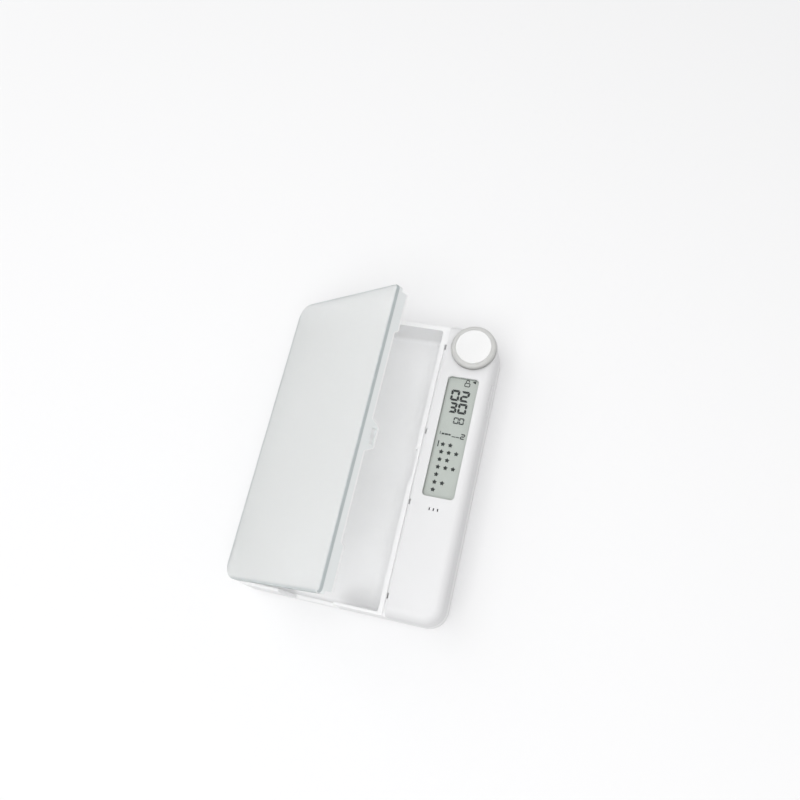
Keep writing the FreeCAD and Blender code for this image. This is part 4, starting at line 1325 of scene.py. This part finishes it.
@dataclass
class Power:
    """The two dry cells and their contacts. The body takes body_share of a cell's length."""

    body: Colour = (0.05, 0.055, 0.06)
    band: Colour = (0.50, 0.33, 0.16)
    body_share: float = 0.72
    spring: Finish = WorkedMetal((0.66, 0.66, 0.66), roughness=0.2)

    def build(self) -> None:
        """Dresses the cells and the contacts."""
        near, far = (corner.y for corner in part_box("battery_cell_left"))
        wrap = CellWrap(self.body, self.band, near + self.body_share * (far - near))
        dress(wrap.make("cell_wrap"), "battery_cell_left", "battery_cell_right")
        dress(self.spring.make("contact_steel"), "spring_contacts", "plate_contacts")


@dataclass(frozen=True)
class Lamp:
    """A square soft lamp that points at the middle of the object. Its power is in watts."""

    name: str
    place: Place
    size: float
    power: float

    def hang(self) -> None:
        """Adds the lamp to the scene."""
        light = bpy.data.lights.new(self.name, "AREA")
        light.shape = "SQUARE"
        light.size = self.size
        light.energy = self.power
        lamp = bpy.data.objects.new(self.name, light)
        bpy.context.scene.collection.objects.link(lamp)
        lamp.location = self.place
        lamp.rotation_mode = "QUATERNION"
        lamp.rotation_quaternion = (-Vector(self.place)).to_track_quat("-Z", "Y")


@dataclass
class Studio:
    """Floor, sky, lamps and camera.

    Attributes:
        eye: the camera's place; right, down and forward are its directions.
        focal_pixels: its focal length, in picture cells.
        image_pixels: width of the picture, in picture cells.
        sensor: width of its sensor, in millimetres.
        sight: nearest and farthest distance that it sees.
        floor_reach: distance from the middle to the floor's sides.
        floor_cells: cells of the floor along a side.
        sky: strength of the sky's light on the object.
    """

    eye: Place = (0.134015, -0.124135, 0.533740)
    right: Place = (0.960731, 0.227402, -0.158984)
    down: Place = (0.163433, -0.926819, -0.338068)
    forward: Place = (-0.224225, 0.298807, -0.927596)
    focal_pixels: float = 844.23
    image_pixels: float = 800.0
    sensor: float = 36.0
    sight: Pair = (0.01, 50.0)
    floor_reach: float = 4.0
    floor_cells: int = 8
    floor: Finish = StudioFloor((0.92, 0.92, 0.925), (0.66, 0.66, 0.665))
    sky: float = 0.59
    lamps: Sequence[Lamp] = (
        Lamp("overhead_lamp", (0.08, -0.5, 1.45), 1.5, 12.2),
        Lamp("side_lamp", (-0.9, 0.35, 1.2), 1.2, 3.8),
    )

    def build(self) -> None:
        """Builds the studio."""
        self.lay_floor()
        self.light_sky()
        for lamp in self.lamps:
            lamp.hang()
        self.set_camera()

    def lay_floor(self) -> None:
        """A flat square of floor just under the feet, as a grid of a few cells."""
        row = self.floor_cells + 1
        line = np.linspace(-self.floor_reach, self.floor_reach, row)
        x, y = np.meshgrid(line, line)
        points = np.stack([x, y, np.zeros_like(x)], axis=-1).reshape(-1, 3)
        cell = np.arange(self.floor_cells)
        corner = (cell[:, None] * row + cell[None, :]).reshape(-1)
        faces = np.stack([corner, corner + 1, corner + row + 1, corner + row], axis=1)
        made = mesh_object("studio_floor", points, faces.tolist())
        made.data.materials.append(self.floor.make("studio_floor"))

    def light_sky(self) -> None:
        """An even white sky, which the camera, metal and glass see at full white."""
        world = bpy.data.worlds.new("studio_sky")
        g = Graph(world)
        strength = self.sky + (1 - self.sky) * g.background_rays()
        sky = g.node("ShaderNodeBackground", inputs={"Color": paint(WHITE), "Strength": strength})
        g.node("ShaderNodeOutputWorld", inputs={"Surface": sky})
        bpy.context.scene.world = world

    def set_camera(self) -> None:
        """The camera, from its measured axes and its focal length in picture cells."""
        data = bpy.data.cameras.new("camera")
        data.sensor_width = self.sensor
        data.lens = self.focal_pixels * self.sensor / self.image_pixels
        data.clip_start, data.clip_end = self.sight
        camera = bpy.data.objects.new("camera", data)
        bpy.context.scene.collection.objects.link(camera)
        turn = Matrix((self.right, -Vector(self.down), -Vector(self.forward))).transposed().to_4x4()
        camera.matrix_world = Matrix.Translation(self.eye) @ turn
        bpy.context.scene.camera = camera
        bpy.context.scene.view_settings.view_transform = "Standard"


def main() -> None:
    """Builds every sub-assembly in order."""
    logging.basicConfig(level=logging.INFO, format="%(name)s: %(message)s")
    for part in (Housing(), Lid(), Dial(), Display(), Controls(), Latch(), Power(), Studio()):
        log.info("building %s", type(part).__name__)
        part.build()


if __name__ == "__main__":
    main()
